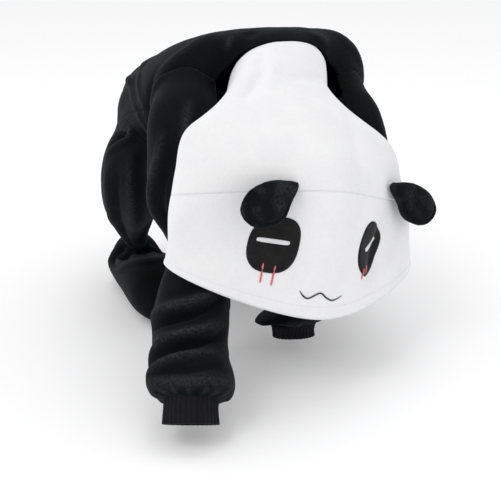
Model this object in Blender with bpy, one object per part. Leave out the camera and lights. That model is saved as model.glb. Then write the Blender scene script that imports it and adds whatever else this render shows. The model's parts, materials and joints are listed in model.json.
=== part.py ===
# Child's panda suit worn on all fours: black plush body, sleeves, footed legs and a white hood.
# Lengths are metres. Wearer faces -Y, wearer's right is -X, +Z is up.
# Tables are written from the floor up and moved so the hold point is the origin.
import bpy
import math
import numpy as np

# cloth sizes
clothWall = 0.0020
hoodWall = 0.0024
seamGap = 0.0003
stripWall = 0.0014
feltWall = 0.0012
slitWall = 0.0008
cm = 0.01

# hold point on the inside of the upper back, above the floor
holdY = 4.0
holdZ = 36.2

# closure sizes
buttonCount = 4
buttonRadius = 0.0055
buttonHeight = 0.0022

# ear: outline from the top of its seam, outward and downward, and its full thickness
earOutline = ((0.0, 0.0), (1.3, -0.5), (3.6, -0.5), (5.8, 0.4), (6.9, 1.9), (6.8, 3.0), (5.8, 4.0), (4.3, 4.3),
              (2.1, 3.6), (1.0, 1.8))
earThick = 2.2

for old in list(bpy.data.objects):
    bpy.data.objects.remove(old, do_unlink=True)


def fabric(name, colour, rough, sheen):
    mat = bpy.data.materials.new(name)
    mat.use_nodes = True
    shader = mat.node_tree.nodes["Principled BSDF"]
    shader.inputs["Base Color"].default_value = (*colour, 1.0)
    shader.inputs["Roughness"].default_value = rough
    shader.inputs["Metallic"].default_value = 0.0
    shader.inputs["Sheen Weight"].default_value = sheen
    return mat


blackPlush = fabric("black_plush", (0.006, 0.006, 0.008), 0.92, 0.25)
blackRib = fabric("black_rib_knit", (0.008, 0.008, 0.010), 0.95, 0.10)
whiteFleece = fabric("white_fleece", (0.86, 0.86, 0.87), 0.95, 0.20)
charcoalFelt = fabric("charcoal_felt", (0.022, 0.020, 0.020), 0.95, 0.10)
whiteFelt = fabric("white_felt", (0.84, 0.84, 0.85), 0.90, 0.10)
blackButton = fabric("black_button", (0.012, 0.012, 0.013), 0.35, 0.0)


def vec(x, y, z):
    return np.array((x, y, z), float)


def unit(v):
    return v / max(1e-9, float(np.linalg.norm(v)))


def toWorld(p):
    # floor-based centimetres to metres about the hold point
    return vec(p[0], p[1] - holdY, p[2] - holdZ) * cm


def superRing(centre, along, across, depth, width, corner):
    # rounded closed section, u=0 on the outer edge, u=0.25 to the wearer's left
    def at(u):
        a = 2.0 * math.pi * u
        c = math.cos(a)
        s = math.sin(a)
        r = (abs(c) ** corner + abs(s) ** corner) ** (-1.0 / corner)
        return centre + along * (depth * c * r) + across * (width * s * r)
    return at


def planeRing(origin, heading, row):
    # row: inner edge along/up, outer edge along/up, side shift, half width, corner
    inAlong, inUp, outAlong, outUp, shift, width, corner = row
    ahead = unit(vec(math.sin(math.radians(heading)), -math.cos(math.radians(heading)), 0.0))
    across = vec(-ahead[1], ahead[0], 0.0)
    inner = origin + ahead * inAlong + vec(0, 0, inUp) + across * shift
    outer = origin + ahead * outAlong + vec(0, 0, outUp) + across * shift
    centre = (inner + outer) * 0.5
    depth = float(np.linalg.norm(outer - inner)) * 0.5
    return superRing(centre, unit(outer - inner), across, depth, width, corner)


def freeRing(row):
    # row: middle x, y, z, heading, lean, roll, half depth, half width, corner
    x, y, z, heading, lean, roll, depth, width, corner = row
    heading, lean, roll = (math.radians(a) for a in (heading, lean, roll))
    ahead = vec(math.sin(heading), -math.cos(heading), 0.0)
    along = ahead * math.cos(lean) + vec(0, 0, 1) * math.sin(lean)
    level = vec(math.cos(heading), math.sin(heading), 0.0)
    upright = np.cross(along, level)
    across = level * math.cos(roll) + upright * (-math.sin(roll))
    return superRing(vec(x, y, z), along, across, depth, width, corner)


def splineRing(points):
    # closed smooth section through evenly spaced control points
    count = len(points)

    def at(u):
        f = (u % 1.0) * count
        i = int(math.floor(f)) % count
        k = f - math.floor(f)
        p = [points[(i + j - 1) % count] for j in range(4)]
        return catmull(p[0], p[1], p[2], p[3], k)
    return at


def catmull(a, b, c, d, k):
    return 0.5 * (2 * b + (c - a) * k + (2 * a - 5 * b + 4 * c - d) * k * k
                  + (3 * b - a - 3 * c + d) * k ** 3)


class Form:
    # smooth tube through closed sections, t runs along it and u runs round it
    def __init__(self, rings, folds=(), pole=False):
        self.rings = rings
        self.folds = folds
        self.pole = pole
        self.facing = 1.0
        middle = sum(self.base(0.5, i / 8) for i in range(8)) / 8
        if float(np.dot(self.normal(0.5, 0.0), self.base(0.5, 0.0) - middle)) < 0:
            self.facing = -1.0

    def base(self, t, u):
        last = len(self.rings) - 1
        f = min(max(t, 0.0), 1.0) * last
        i = min(int(f), last - 1)
        k = f - i
        b = self.rings[i](u)
        c = self.rings[i + 1](u)
        a = self.rings[i - 1](u) if i > 0 else 2 * b - c
        d = self.rings[i + 2](u) if i + 2 <= last else 2 * c - b
        return catmull(a, b, c, d, k)

    def slopes(self, t, u):
        h = 0.004
        t0 = max(0.0, t - h)
        t1 = min(1.0, t + h)
        along = (self.base(t1, u) - self.base(t0, u)) / (t1 - t0)
        round_ = (self.base(t, u + h) - self.base(t, u - h)) / (2 * h)
        return along, round_

    def normal(self, t, u):
        if self.pole and t > 0.985:
            t = 0.985
        along, round_ = self.slopes(t, u)
        return unit(np.cross(round_, along)) * self.facing

    def lift(self, t, u):
        # sum of the hand-placed folds, centimetres
        total = 0.0
        for t0, u0, t1, u1, width, height in self.folds:
            total += foldHeight(self, t, u, t0, u0, t1, u1, width, height)
        return total

    def point(self, t, u, out):
        # point a distance out of the form, given in metres
        n = self.normal(t, u)
        return self.base(t, u) + n * (self.lift(t, u) + out / cm)


def foldHeight(form, t, u, t0, u0, t1, u1, width, height):
    # soft ridge (or trough when negative) along a straight stroke on the tube
    length, girth = form.sizes()
    du = (u - u0 + 0.5) % 1.0 - 0.5
    px, py = (t - t0) * length, du * girth
    qx, qy = (t1 - t0) * length, (u1 - u0) * girth
    k = (px * qx + py * qy) / max(1e-6, qx * qx + qy * qy)
    k = min(1.0, max(0.0, k))
    dist = math.hypot(px - k * qx, py - k * qy)
    return height * math.exp(-(dist / width) ** 2) * (0.35 + 0.65 * math.sin(math.pi * (0.15 + 0.7 * k)))


def formSizes(self):
    if not hasattr(self, "known"):
        length = 0.0
        girth = 0.0
        for i in range(10):
            length += float(np.linalg.norm(self.base((i + 1) / 10, 0.25) - self.base(i / 10, 0.25)))
            girth += float(np.linalg.norm(self.base(0.5, (i + 1) / 10) - self.base(0.5, i / 10)))
        self.known = (length, girth)
    return self.known


Form.sizes = formSizes


def addMesh(name, points, faces, mat):
    mesh = bpy.data.meshes.new(name)
    mesh.from_pydata([tuple(toWorld(p)) for p in points], [], faces)
    mesh.validate()
    mesh.materials.append(mat)
    for poly in mesh.polygons:
        poly.use_smooth = True
    obj = bpy.data.objects.new(name, mesh)
    bpy.context.collection.objects.link(obj)
    return obj


def panel(name, form, span, sweep, counts, mat, wall, lift=0.0, gaps=(1, 1, 1, 1)):
    # cloth wall over part of a form: span = t0,t1  sweep = u0,u1 (whole ring when 0,1)
    t0, t1 = span
    u0, u1 = sweep
    nt, nu = counts
    whole = abs(u1 - u0) > 0.999
    cols = nu if whole else nu + 1
    half = seamGap / cm * 0.5
    outer = []
    inner = []
    for i in range(nt + 1):
        for j in range(cols):
            t = t0 + (t1 - t0) * i / nt
            u = u0 + (u1 - u0) * j / nu
            along, round_ = form.slopes(t, u)
            if i == 0 and gaps[0]:
                t += half * gaps[0] / max(1e-6, float(np.linalg.norm(along)))
            if i == nt and gaps[1]:
                t -= half / max(1e-6, float(np.linalg.norm(along)))
            if not whole and j == 0 and gaps[2]:
                u += half * gaps[2] / max(1e-6, float(np.linalg.norm(round_)))
            if not whole and j == nu and gaps[3]:
                u -= half * gaps[3] / max(1e-6, float(np.linalg.norm(round_)))
            if form.pole and i == nt and t1 > 0.999:
                t = 1.0
            outer.append(form.point(t, u, lift + (0.0 if lift == 0.0 else wall)))
            inner.append(form.point(t, u, lift - (wall if lift == 0.0 else 0.0)))
    size = len(outer)
    faces = []

    def quad(a, b, c, d):
        faces.append((a, b, c, d))

    for i in range(nt):
        for j in range(cols if whole else nu):
            k = (j + 1) % cols
            a = i * cols + j
            b = i * cols + k
            c = (i + 1) * cols + k
            d = (i + 1) * cols + j
            quad(a, b, c, d)
            quad(size + a, size + d, size + c, size + b)
    ends = (0,) if form.pole and t1 > 0.999 else (0, nt)
    for i in ends:
        for j in range(cols if whole else nu):
            k = (j + 1) % cols
            a = i * cols + j
            b = i * cols + k
            if i == 0:
                quad(a, size + a, size + b, b)
            else:
                quad(a, b, size + b, size + a)
    if not whole:
        for j in (0, nu):
            for i in range(nt):
                a = i * cols + j
                d = (i + 1) * cols + j
                if j == 0:
                    quad(a, d, size + d, size + a)
                else:
                    quad(a, size + a, size + d, d)
    points = outer + inner
    if form.pole and t1 > 0.999:
        # one shared point for each side at the closed end
        top = nt * cols
        points, faces = weldRow(points, faces, top, cols)
        points, faces = weldRow(points, faces, size + top, cols)
    obj = addMesh(name, points, faces, mat)
    tidyMesh(obj)
    return obj


def weldRow(points, faces, start, count):
    middle = sum(points[start:start + count]) / count
    points = list(points)
    points[start] = middle
    out = []
    for face in faces:
        ids = []
        for v in face:
            w = start if start <= v < start + count else v
            if w not in ids:
                ids.append(w)
        if len(ids) > 2:
            out.append(tuple(ids))
    return points, out


def tidyMesh(obj):
    # drop unused points, face outward
    import bmesh
    bm = bmesh.new()
    bm.from_mesh(obj.data)
    loose = [v for v in bm.verts if not v.link_faces]
    bmesh.ops.delete(bm, geom=loose, context="VERTS")
    bmesh.ops.recalc_face_normals(bm, faces=bm.faces)
    if bm.calc_volume() < 0:
        bmesh.ops.reverse_faces(bm, faces=bm.faces)
    bm.to_mesh(obj.data)
    bm.free()


def solidForm(name, form, counts, grow, span=(0.0, 1.0)):
    # filled copy of a form used as a cutter
    nt, nu = counts
    points = []
    for i in range(nt + 1):
        t = span[0] + (span[1] - span[0]) * i / nt
        for j in range(nu):
            points.append(form.point(t, j / nu, grow))
    faces = []
    for i in range(nt):
        for j in range(nu):
            k = (j + 1) % nu
            faces.append((i * nu + j, i * nu + k, (i + 1) * nu + k, (i + 1) * nu + j))
    for row in (0, nt):
        middle = sum(points[row * nu:(row + 1) * nu]) / nu
        points.append(middle)
        for j in range(nu):
            k = (j + 1) % nu
            faces.append((row * nu + j, row * nu + k, len(points) - 1))
    if form.pole and span[1] > 0.999:
        faces = [f for f in faces if len(points) - 1 not in f]
        points, faces = weldRow(points, faces, nt * nu, nu)
    obj = addMesh(name, points, faces, blackPlush)
    tidyMesh(obj)
    obj.hide_render = True
    obj.display_type = "WIRE"
    return obj


def cutAway(obj, cutters):
    # exact difference, then the largest closed body is kept
    import bmesh
    for cutter in cutters:
        mod = obj.modifiers.new("cut", "BOOLEAN")
        mod.operation = "DIFFERENCE"
        mod.solver = "EXACT"
        mod.object = cutter
    graph = bpy.context.evaluated_depsgraph_get()
    mesh = bpy.data.meshes.new_from_object(obj.evaluated_get(graph))
    obj.modifiers.clear()
    bm = bmesh.new()
    bm.from_mesh(mesh)
    bmesh.ops.dissolve_degenerate(bm, edges=bm.edges, dist=0.00002)
    seen = set()
    parts = []
    for face in bm.faces:
        if face in seen:
            continue
        stack = [face]
        part = []
        seen.add(face)
        while stack:
            here = stack.pop()
            part.append(here)
            for edge in here.edges:
                for other in edge.link_faces:
                    if other not in seen:
                        seen.add(other)
                        stack.append(other)
        parts.append(part)
    parts.sort(key=lambda p: -sum(f.calc_area() for f in p))
    extra = [f for p in parts[1:] for f in p]
    if extra:
        bmesh.ops.delete(bm, geom=extra, context="FACES")
    loose = [v for v in bm.verts if not v.link_faces]
    bmesh.ops.delete(bm, geom=loose, context="VERTS")
    bmesh.ops.recalc_face_normals(bm, faces=bm.faces)
    bm.to_mesh(mesh)
    bm.free()
    obj.data = mesh
    for poly in mesh.polygons:
        poly.use_smooth = True


# body sections: belly edge along/up, back edge along/up, side shift, half width, corner
# "along" is measured from the neck towards the seat
bodyRows = (
    (-4.6, 26.6, 0.3, 36.0, 0.4, 5.8, 2.4),
    (-5.2, 24.6, -1.2, 36.8, 0.0, 10.2, 2.3),
    (-6.4, 22.8, -3.2, 37.0, 0.0, 12.8, 2.5),
    (-9.0, 21.4, -7.0, 36.6, 0.0, 13.4, 2.6),
    (-12.5, 20.2, -11.5, 35.7, 0.0, 13.4, 2.6),
    (-17.0, 19.0, -17.0, 34.3, 0.0, 12.9, 2.6),
    (-21.5, 17.8, -22.5, 32.6, 0.0, 12.8, 2.6),
    (-26.0, 16.4, -28.0, 30.6, 0.0, 12.6, 2.6),
    (-30.5, 15.0, -33.0, 27.8, 0.0, 11.8, 2.5),
    (-34.0, 14.0, -37.0, 23.8, 0.0, 9.6, 2.3),
    (-36.5, 14.6, -38.8, 20.0, 0.0, 5.8, 2.0),
    (-37.6, 17.0, -37.7, 17.1, 0.0, 0.05, 2.0),
)

# sleeve sections: middle x, y, z, then heading of the front edge, how far it leans up,
# roll of the side axis (degrees), half depth, half width, corner
sleeveRightRows = (
    (-8.6, 6.2, 31.0, -15, 40, 8, 4.0, 3.4, 2.1),
    (-10.9, 1.6, 28.2, -18, 28, 6, 4.4, 3.9, 2.1),
    (-11.8, -1.5, 23.8, -20, 14, 4, 4.3, 4.1, 2.2),
    (-12.2, -3.5, 19.4, -20, 9, 3, 3.9, 4.1, 2.2),
    (-11.6, -5.2, 15.0, -20, 18, 0, 3.3, 2.7, 2.1),
    (-12.9, -7.8, 12.0, -21, 32, 0, 3.8, 3.6, 2.2),
    (-14.4, -11.2, 9.3, -21, 38, 0, 4.1, 4.0, 2.2),
    (-15.5, -14.2, 7.0, -21, 40, 0, 3.8, 3.9, 2.2),
    (-16.2, -16.6, 5.3, -21, 42, 0, 4.2, 4.4, 2.3),
    (-16.6, -18.0, 4.4, -21, 42, 0, 3.8, 4.2, 2.3),
    (-16.8, -18.7, 4.0, -21, 40, 0, 2.6, 2.7, 2.1),
)
cuffRightRows = (
    (-17.1, -19.4, 3.3, -21, 38, 0, 2.4, 2.7, 2.1),
    (-17.4, -20.3, 2.2, -21, 32, 0, 2.4, 2.8, 2.1),
)
sleeveLeftRows = (
    (8.6, 6.8, 30.4, 0, 40, -8, 3.8, 2.9, 2.1),
    (9.4, 2.8, 27.4, -5, 25, -5, 4.2, 3.3, 2.1),
    (9.2, 0.2, 22.5, -8, 10, -2, 4.0, 3.8, 2.2),
    (8.4, -1.0, 17.2, -10, 6, -18, 3.8, 3.7, 2.2),
    (6.4, -1.8, 12.2, -10, 6, -35, 3.8, 3.8, 2.2),
    (3.4, -2.7, 7.7, -12, 8, -30, 4.3, 4.9, 2.2),
    (1.2, -2.9, 4.7, -12, 10, -12, 4.4, 5.3, 2.2),
    (0.8, -3.0, 3.2, -12, 12, -5, 2.6, 2.7, 2.1),
)
cuffLeftRows = (
    (0.6, -3.2, 2.5, -12, 12, 0, 2.3, 2.5, 2.1),
    (0.6, -3.4, 1.7, -12, 12, 0, 2.3, 2.5, 2.1),
)

# leg sections: rear edge along/up, front edge along/up, side shift, half width, corner
legRows = (
    (-1.0, 16.6, -1.5, 22.6, 0.0, 4.0, 2.1),
    (2.4, 15.6, 2.6, 24.2, 0.0, 5.2, 2.1),
    (6.0, 15.2, 8.0, 24.9, 0.0, 5.7, 2.1),
    (9.0, 15.3, 14.0, 24.4, 0.0, 5.5, 2.1),
    (10.0, 15.5, 18.8, 23.4, -0.1, 5.3, 2.1),
    (10.2, 15.2, 22.6, 21.2, -0.3, 5.1, 2.0),
    (10.1, 14.8, 23.4, 17.4, -0.6, 4.9, 2.0),
    (9.9, 14.3, 20.4, 13.2, -1.5, 4.1, 2.0),
    (9.2, 13.4, 16.2, 10.4, -2.4, 3.0, 2.0),
    (8.0, 11.0, 12.6, 8.0, -2.9, 2.1, 2.0),
    (6.9, 8.4, 10.0, 5.8, -2.9, 1.6, 2.0),
    (6.3, 7.0, 8.8, 4.9, -2.8, 1.40, 2.0),
)
# foot cover sections: heel or sole edge, instep edge, side shift, half width, corner
footRows = (
    (-3.8, 5.9, 1.6, 4.2, 0.0, 2.8, 2.1),
    (-4.4, 2.2, 2.2, 4.4, 0.0, 3.9, 2.2),
    (-1.8, 0.5, 3.4, 5.0, 0.0, 4.3, 2.3),
    (2.6, 0.35, 5.6, 5.9, 0.0, 4.5, 2.4),
    (8.2, 0.35, 9.4, 6.4, 0.0, 4.6, 2.5),
    (14.0, 0.4, 13.8, 5.9, 0.0, 4.5, 2.5),
    (17.4, 0.8, 17.0, 4.2, 0.0, 3.3, 2.3),
    (18.6, 2.35, 18.6, 2.45, 0.0, 0.05, 2.0),
)

# hood sections in the tilted head frame, each pair or triple is ahead, up(, half width)
# throat, inner side, pocket, corner, brow, front
hoodRows = (
    ((-3.9, -6.0), (0.0, -4.0, 4.6), (2.4, -2.7, 5.8), (3.7, -1.5, 7.0), (3.9, 0.9, 5.0), (4.2, 2.1)),
    ((-3.4, -7.2), (1.8, -6.2, 4.8), (6.0, -5.6, 8.2), (6.4, -4.8, 12.9), (7.8, -2.8, 6.9), (9.4, -1.8)),
    ((-3.0, -8.2), (3.2, -8.8, 4.6), (7.4, -9.0, 8.8), (7.7, -8.8, 14.5), (11.4, -7.2, 7.2), (13.6, -6.0)),
    ((-2.6, -9.0), (4.6, -11.0, 4.3), (8.0, -12.2, 9.2), (8.7, -12.6, 15.3), (12.4, -11.2, 6.9), (15.4, -10.4)),
    ((-2.3, -9.6), (5.6, -12.8, 4.1), (8.5, -14.6, 9.6), (9.0, -15.8, 15.6), (12.4, -16.0, 7.6), (15.2, -15.6)),
    ((-2.0, -10.2), (6.4, -14.2, 4.1), (8.9, -16.2, 10.0), (9.4, -18.2, 16.0), (13.5, -20.9, 9.2), (15.9, -22.3)),
)
# sideways lean of each section towards the wearer's right
hoodLean = (-1.7, -1.2, -0.8, -0.4, 0.0, 0.0)
hoodOrigin = vec(0.0, 0.5, 31.0)
hoodTurn = 9.0
hoodTilt = 10.0

# folds: t start, u start, t end, u end, width, height (centimetres on the cloth)
bodyFolds = (
    (0.10, 0.86, 0.42, 0.80, 1.3, 0.45),
    (0.20, 0.93, 0.32, 0.86, 1.0, -0.25),
    (0.30, 0.78, 0.66, 0.74, 1.4, 0.40),
    (0.12, 0.14, 0.40, 0.20, 1.4, 0.40),
    (0.45, 0.90, 0.70, 0.82, 1.5, -0.30),
)
sleeveRightFolds = (
    (0.30, 0.62, 0.52, 0.80, 0.9, 0.30),
    (0.42, 0.95, 0.50, 1.15, 0.9, -0.30),
    (0.60, 0.75, 0.67, 1.15, 0.9, 0.40),
    (0.68, 0.70, 0.74, 1.20, 0.7, -0.45),
    (0.79, 0.75, 0.82, 1.10, 0.9, 0.30),
)
sleeveLeftFolds = (
    (0.45, 0.90, 0.52, 1.20, 0.9, 0.35),
    (0.64, 0.85, 0.70, 1.20, 0.8, -0.35),
)
legFolds = (
    (0.26, 0.80, 0.40, 0.95, 1.2, 0.40),
    (0.55, 0.95, 0.85, 0.93, 1.0, 0.30),
    (0.62, 0.12, 0.86, 0.06, 1.0, -0.25),
)
hoodFolds = (
    (0.05, 0.86, 0.30, 0.78, 1.6, -0.35),
    (0.45, 0.12, 0.85, 0.17, 1.6, -0.40),
    (0.50, 0.84, 0.85, 0.80, 1.8, 0.25),
)

neckRing = planeRing(vec(0, 0, 0), 0.0, bodyRows[0])
bodyForm = Form([neckRing] + [planeRing(vec(0, 0, 0), 0.0, r) for r in bodyRows[1:]], bodyFolds, True)


def limbForm(origin, heading, rows, folds, mirror=False, before=None, pole=False):
    rings = [] if before is None else [before]
    for row in rows:
        row = list(row)
        if mirror:
            row[4] = -row[4]
        rings.append(planeRing(origin, heading, row))
    return Form(rings, folds, pole)


def mirrorFolds(folds):
    return tuple((a, -b, c, -d, e, f) for a, b, c, d, e, f in folds)


# legs and feet: start point on the floor plan and heading
legRightAt = vec(-5.4, 31.0, 0.0)
legRightHeading = -23.5
legLeftAt = vec(5.4, 31.0, 0.0)
legLeftHeading = 12.0
footRightAt = vec(-11.0, 25.0, 0.0)
footLeftAt = vec(9.7, 24.0, 0.0)

sleeveRight = Form([freeRing(r) for r in sleeveRightRows], sleeveRightFolds)
cuffRight = Form([sleeveRight.rings[-1]] + [freeRing(r) for r in cuffRightRows])
sleeveLeft = Form([freeRing(r) for r in sleeveLeftRows], sleeveLeftFolds)
cuffLeft = Form([sleeveLeft.rings[-1]] + [freeRing(r) for r in cuffLeftRows])
legRight = limbForm(legRightAt, legRightHeading, legRows, legFolds)
legLeft = limbForm(legLeftAt, legLeftHeading, legRows, mirrorFolds(legFolds), True)


def footFolds(side):
    # gathers fan out from the ankle over the top of the foot
    return tuple((0.06, side * a, 0.52, side * b, 0.55, h) for a, b, h in (
        (0.78, 0.80, 0.28), (0.84, 0.86, -0.22), (0.90, 0.91, 0.28),
        (0.96, 0.96, -0.22), (1.02, 1.02, 0.26), (1.10, 1.08, -0.20), (1.17, 1.14, 0.24)))


footRight = limbForm(footRightAt, 0.0, footRows, footFolds(1), False, legRight.rings[-1], True)
footLeft = limbForm(footLeftAt, 4.0, footRows, footFolds(-1), True, legLeft.rings[-1], True)


def hoodRing(row, share, lean):
    # share is how much of the head turn and tilt the section takes
    turn = math.radians(hoodTurn * share)
    tilt = math.radians(hoodTilt * share)
    ahead = vec(math.sin(turn), -math.cos(turn), 0.0)
    level = vec(math.cos(turn), math.sin(turn), 0.0)
    across = level * math.cos(tilt) - vec(0, 0, 1) * math.sin(tilt)
    up = vec(0, 0, 1) * math.cos(tilt) + level * math.sin(tilt)

    def at(f, u, w=0.0):
        return hoodOrigin + ahead * f + up * u + across * (w + lean)

    throat, inner, pocket, corner, brow, front = row
    left = [at(*brow), at(*corner), at(*pocket), at(*inner)]
    right = [at(p[0], p[1], -p[2]) for p in (inner, pocket, corner, brow)]
    return splineRing([at(*front)] + left + [at(*throat)] + right)


hoodShare = (0.6, 0.9, 1.0, 1.0, 1.0, 1.0)
hoodForm = Form([neckRing] + [hoodRing(*r) for r in zip(hoodRows, hoodShare, hoodLean)], hoodFolds)

# cloth pieces
seatT = 0.80
sideU = 0.27
sideGaps = (1, 1, 2.5, 2.5)
crossSeamT = 0.61
faceGrid = (6, 36)
bodyBack = panel("body_back", bodyForm, (0.0, seatT), (-sideU, sideU), (11, 14), blackPlush, clothWall,
                 gaps=sideGaps)
bodyFrontLeft = panel("body_front_left", bodyForm, (0.0, seatT), (sideU, 0.5), (11, 6), blackPlush, clothWall,
                      gaps=sideGaps)
bodyFrontRight = panel("body_front_right", bodyForm, (0.0, seatT), (0.5, 1.0 - sideU), (11, 6), blackPlush,
                       clothWall, gaps=sideGaps)
seat = panel("seat", bodyForm, (seatT, 1.0), (0.0, 1.0), (5, 26), blackPlush, clothWall,
             gaps=(4, 1, 0, 0))
armPieces = (
    panel("sleeve_right", sleeveRight, (0.0, 1.0), (0.0, 1.0), (20, 16), blackPlush, clothWall),
    panel("sleeve_left", sleeveLeft, (0.0, 1.0), (0.0, 1.0), (12, 14), blackPlush, clothWall),
)
legPieces = (
    panel("leg_right", legRight, (0.0, 1.0), (0.0, 1.0), (14, 16), blackPlush, clothWall),
    panel("leg_left", legLeft, (0.0, 1.0), (0.0, 1.0), (12, 14), blackPlush, clothWall),
)
panel("cuff_right", cuffRight, (0.0, 1.0), (0.0, 1.0), (2, 16), blackRib, clothWall, gaps=(1, 0, 0, 0))
panel("cuff_left", cuffLeft, (0.0, 1.0), (0.0, 1.0), (2, 14), blackRib, clothWall, gaps=(1, 0, 0, 0))
panel("foot_right", footRight, (0.0, 1.0), (0.0, 1.0), (8, 22), blackPlush, clothWall)
panel("foot_left", footLeft, (0.0, 1.0), (0.0, 1.0), (7, 14), blackPlush, clothWall)
panel("hood_back", hoodForm, (0.0, crossSeamT), (0.0, 1.0), (7, faceGrid[1]), whiteFleece, hoodWall,
      gaps=(3, 1, 0, 0))
panel("hood_face", hoodForm, (crossSeamT, 1.0), (0.0, 1.0), faceGrid, whiteFleece, hoodWall, gaps=(1, 0, 0, 0))

# arm holes and leg holes: neighbours cut each other one seam gap apart
bodySolid = solidForm("body_cutter", bodyForm, (20, 26), seamGap * 1.5)
limbSolids = [
    solidForm("sleeve_right_cutter", sleeveRight, (10, 16), seamGap * 1.5, (0.0, 0.5)),
    solidForm("sleeve_left_cutter", sleeveLeft, (6, 14), seamGap * 1.5, (0.0, 0.5)),
    solidForm("leg_right_cutter", legRight, (14, 16), seamGap * 1.5),
    solidForm("leg_left_cutter", legLeft, (12, 14), seamGap * 1.5),
]
for piece in (bodyBack, bodyFrontLeft, bodyFrontRight, seat):
    cutAway(piece, limbSolids)
for piece in armPieces + legPieces:
    cutAway(piece, [bodySolid])
for solid in [bodySolid] + limbSolids:
    bpy.data.objects.remove(solid, do_unlink=True)

# front closure under the belly
rowStep = seatT / 11
panel("front_placket", bodyForm, (rowStep, rowStep * 8), (0.485, 0.515), (7, 2), blackPlush, stripWall,
      seamGap * 1.5, (0, 0, 0, 0))


def disc(name, centre, normal, radius, height, mat):
    side = unit(np.cross(normal, vec(0.2, 1.0, 0.1)))
    other = np.cross(normal, side)
    points = []
    for level in (0.0, 1.0):
        for i in range(16):
            a = 2 * math.pi * i / 16
            points.append(centre + normal * (level * height / cm)
                          + (side * math.cos(a) + other * math.sin(a)) * (radius / cm))
    faces = [tuple(range(16)), tuple(range(16, 32))]
    for i in range(16):
        k = (i + 1) % 16
        faces.append((i, k, 16 + k, 16 + i))
    obj = addMesh(name, points, faces, mat)
    tidyMesh(obj)
    for poly in obj.data.polygons:
        poly.use_smooth = len(poly.vertices) == 4
    return obj


for i in range(buttonCount):
    t = rowStep * (2 + 4.5 * i / (buttonCount - 1))
    n = bodyForm.normal(t, 0.5)
    spot = bodyForm.point(t, 0.5, seamGap + stripWall + 0.0012)
    disc("button_%d" % (i + 1), spot, n, buttonRadius, buttonHeight, blackButton)


def facetPoint(form, span, counts, t, u, out):
    # point over the flat facets of a whole-ring panel, so pieces lie on its real surface
    t0, t1 = span
    nt, nu = counts
    ft = (t - t0) / (t1 - t0) * nt
    i = min(max(int(math.floor(ft)), 0), nt - 1)
    fu = (u % 1.0) * nu
    j = int(math.floor(fu))
    a = ft - i
    b = fu - j
    corner = [[form.point(t0 + (t1 - t0) * (i + m) / nt, (j + n) / nu, 0.0) for n in (0, 1)] for m in (0, 1)]
    spot = (corner[0][0] * (1 - b) + corner[0][1] * b) * (1 - a) + (corner[1][0] * (1 - b) + corner[1][1] * b) * a
    return spot + form.normal(t, u) * (out / cm)


def patch(name, form, centre, half, turn, grid, mat, wall, lift):
    # soft-cornered patch that follows the hood face: centre in t and u, half sizes in centimetres
    ct, cu = centre
    ht, hu = half
    rings, steps = grid
    length, girth = form.sizes()
    span = (crossSeamT, 1.0)
    points = [facetPoint(form, span, faceGrid, ct, cu, lift + wall)]
    under = [facetPoint(form, span, faceGrid, ct, cu, lift)]
    for r in range(1, rings + 1):
        for i in range(steps):
            a = 2 * math.pi * i / steps
            c = math.cos(a)
            s = math.sin(a)
            k = (abs(c) ** 2.6 + abs(s) ** 2.6) ** (-1 / 2.6) * r / rings
            x = c * k * ht
            y = s * k * hu
            dt = (x * math.cos(turn) - y * math.sin(turn)) / length
            du = (x * math.sin(turn) + y * math.cos(turn)) / girth
            points.append(facetPoint(form, span, faceGrid, ct + dt, cu + du, lift + wall))
            under.append(facetPoint(form, span, faceGrid, ct + dt, cu + du, lift))
    size = len(points)
    faces = []
    for side in (0, size):
        for i in range(steps):
            k = (i + 1) % steps
            faces.append((side, side + 1 + i, side + 1 + k))
            for r in range(rings - 1):
                a = side + 1 + r * steps
                faces.append((a + i, a + steps + i, a + steps + k, a + k))
    edge = 1 + (rings - 1) * steps
    for i in range(steps):
        k = (i + 1) % steps
        faces.append((edge + i, edge + k, size + edge + k, size + edge + i))
    obj = addMesh(name, points + under, faces, mat)
    tidyMesh(obj)
    return obj


# panda face: side, patch centre t and u, half height and width, turn, then the same for the slit
eyeTable = (
    ("right", 0.80, -0.079, 2.4, 2.25, 2.0, 0.79, -0.081, 0.22, 1.55, -5.0),
    ("left", 0.81, 0.088, 2.7, 1.45, -26.0, 0.80, 0.099, 0.22, 1.1, 25.0),
)
patchLift = 0.0007
for name, pt, pu, ph, pw, patchTurn, st, su, sh, sw, slitTurn in eyeTable:
    patch("eye_patch_" + name, hoodForm, (pt, pu), (ph, pw), math.radians(patchTurn), (4, 24), charcoalFelt,
          feltWall, patchLift)
    patch("eye_slit_" + name, hoodForm, (st, su), (sh, sw), math.radians(slitTurn), (1, 16), whiteFelt,
          slitWall, patchLift + feltWall + seamGap)


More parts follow.
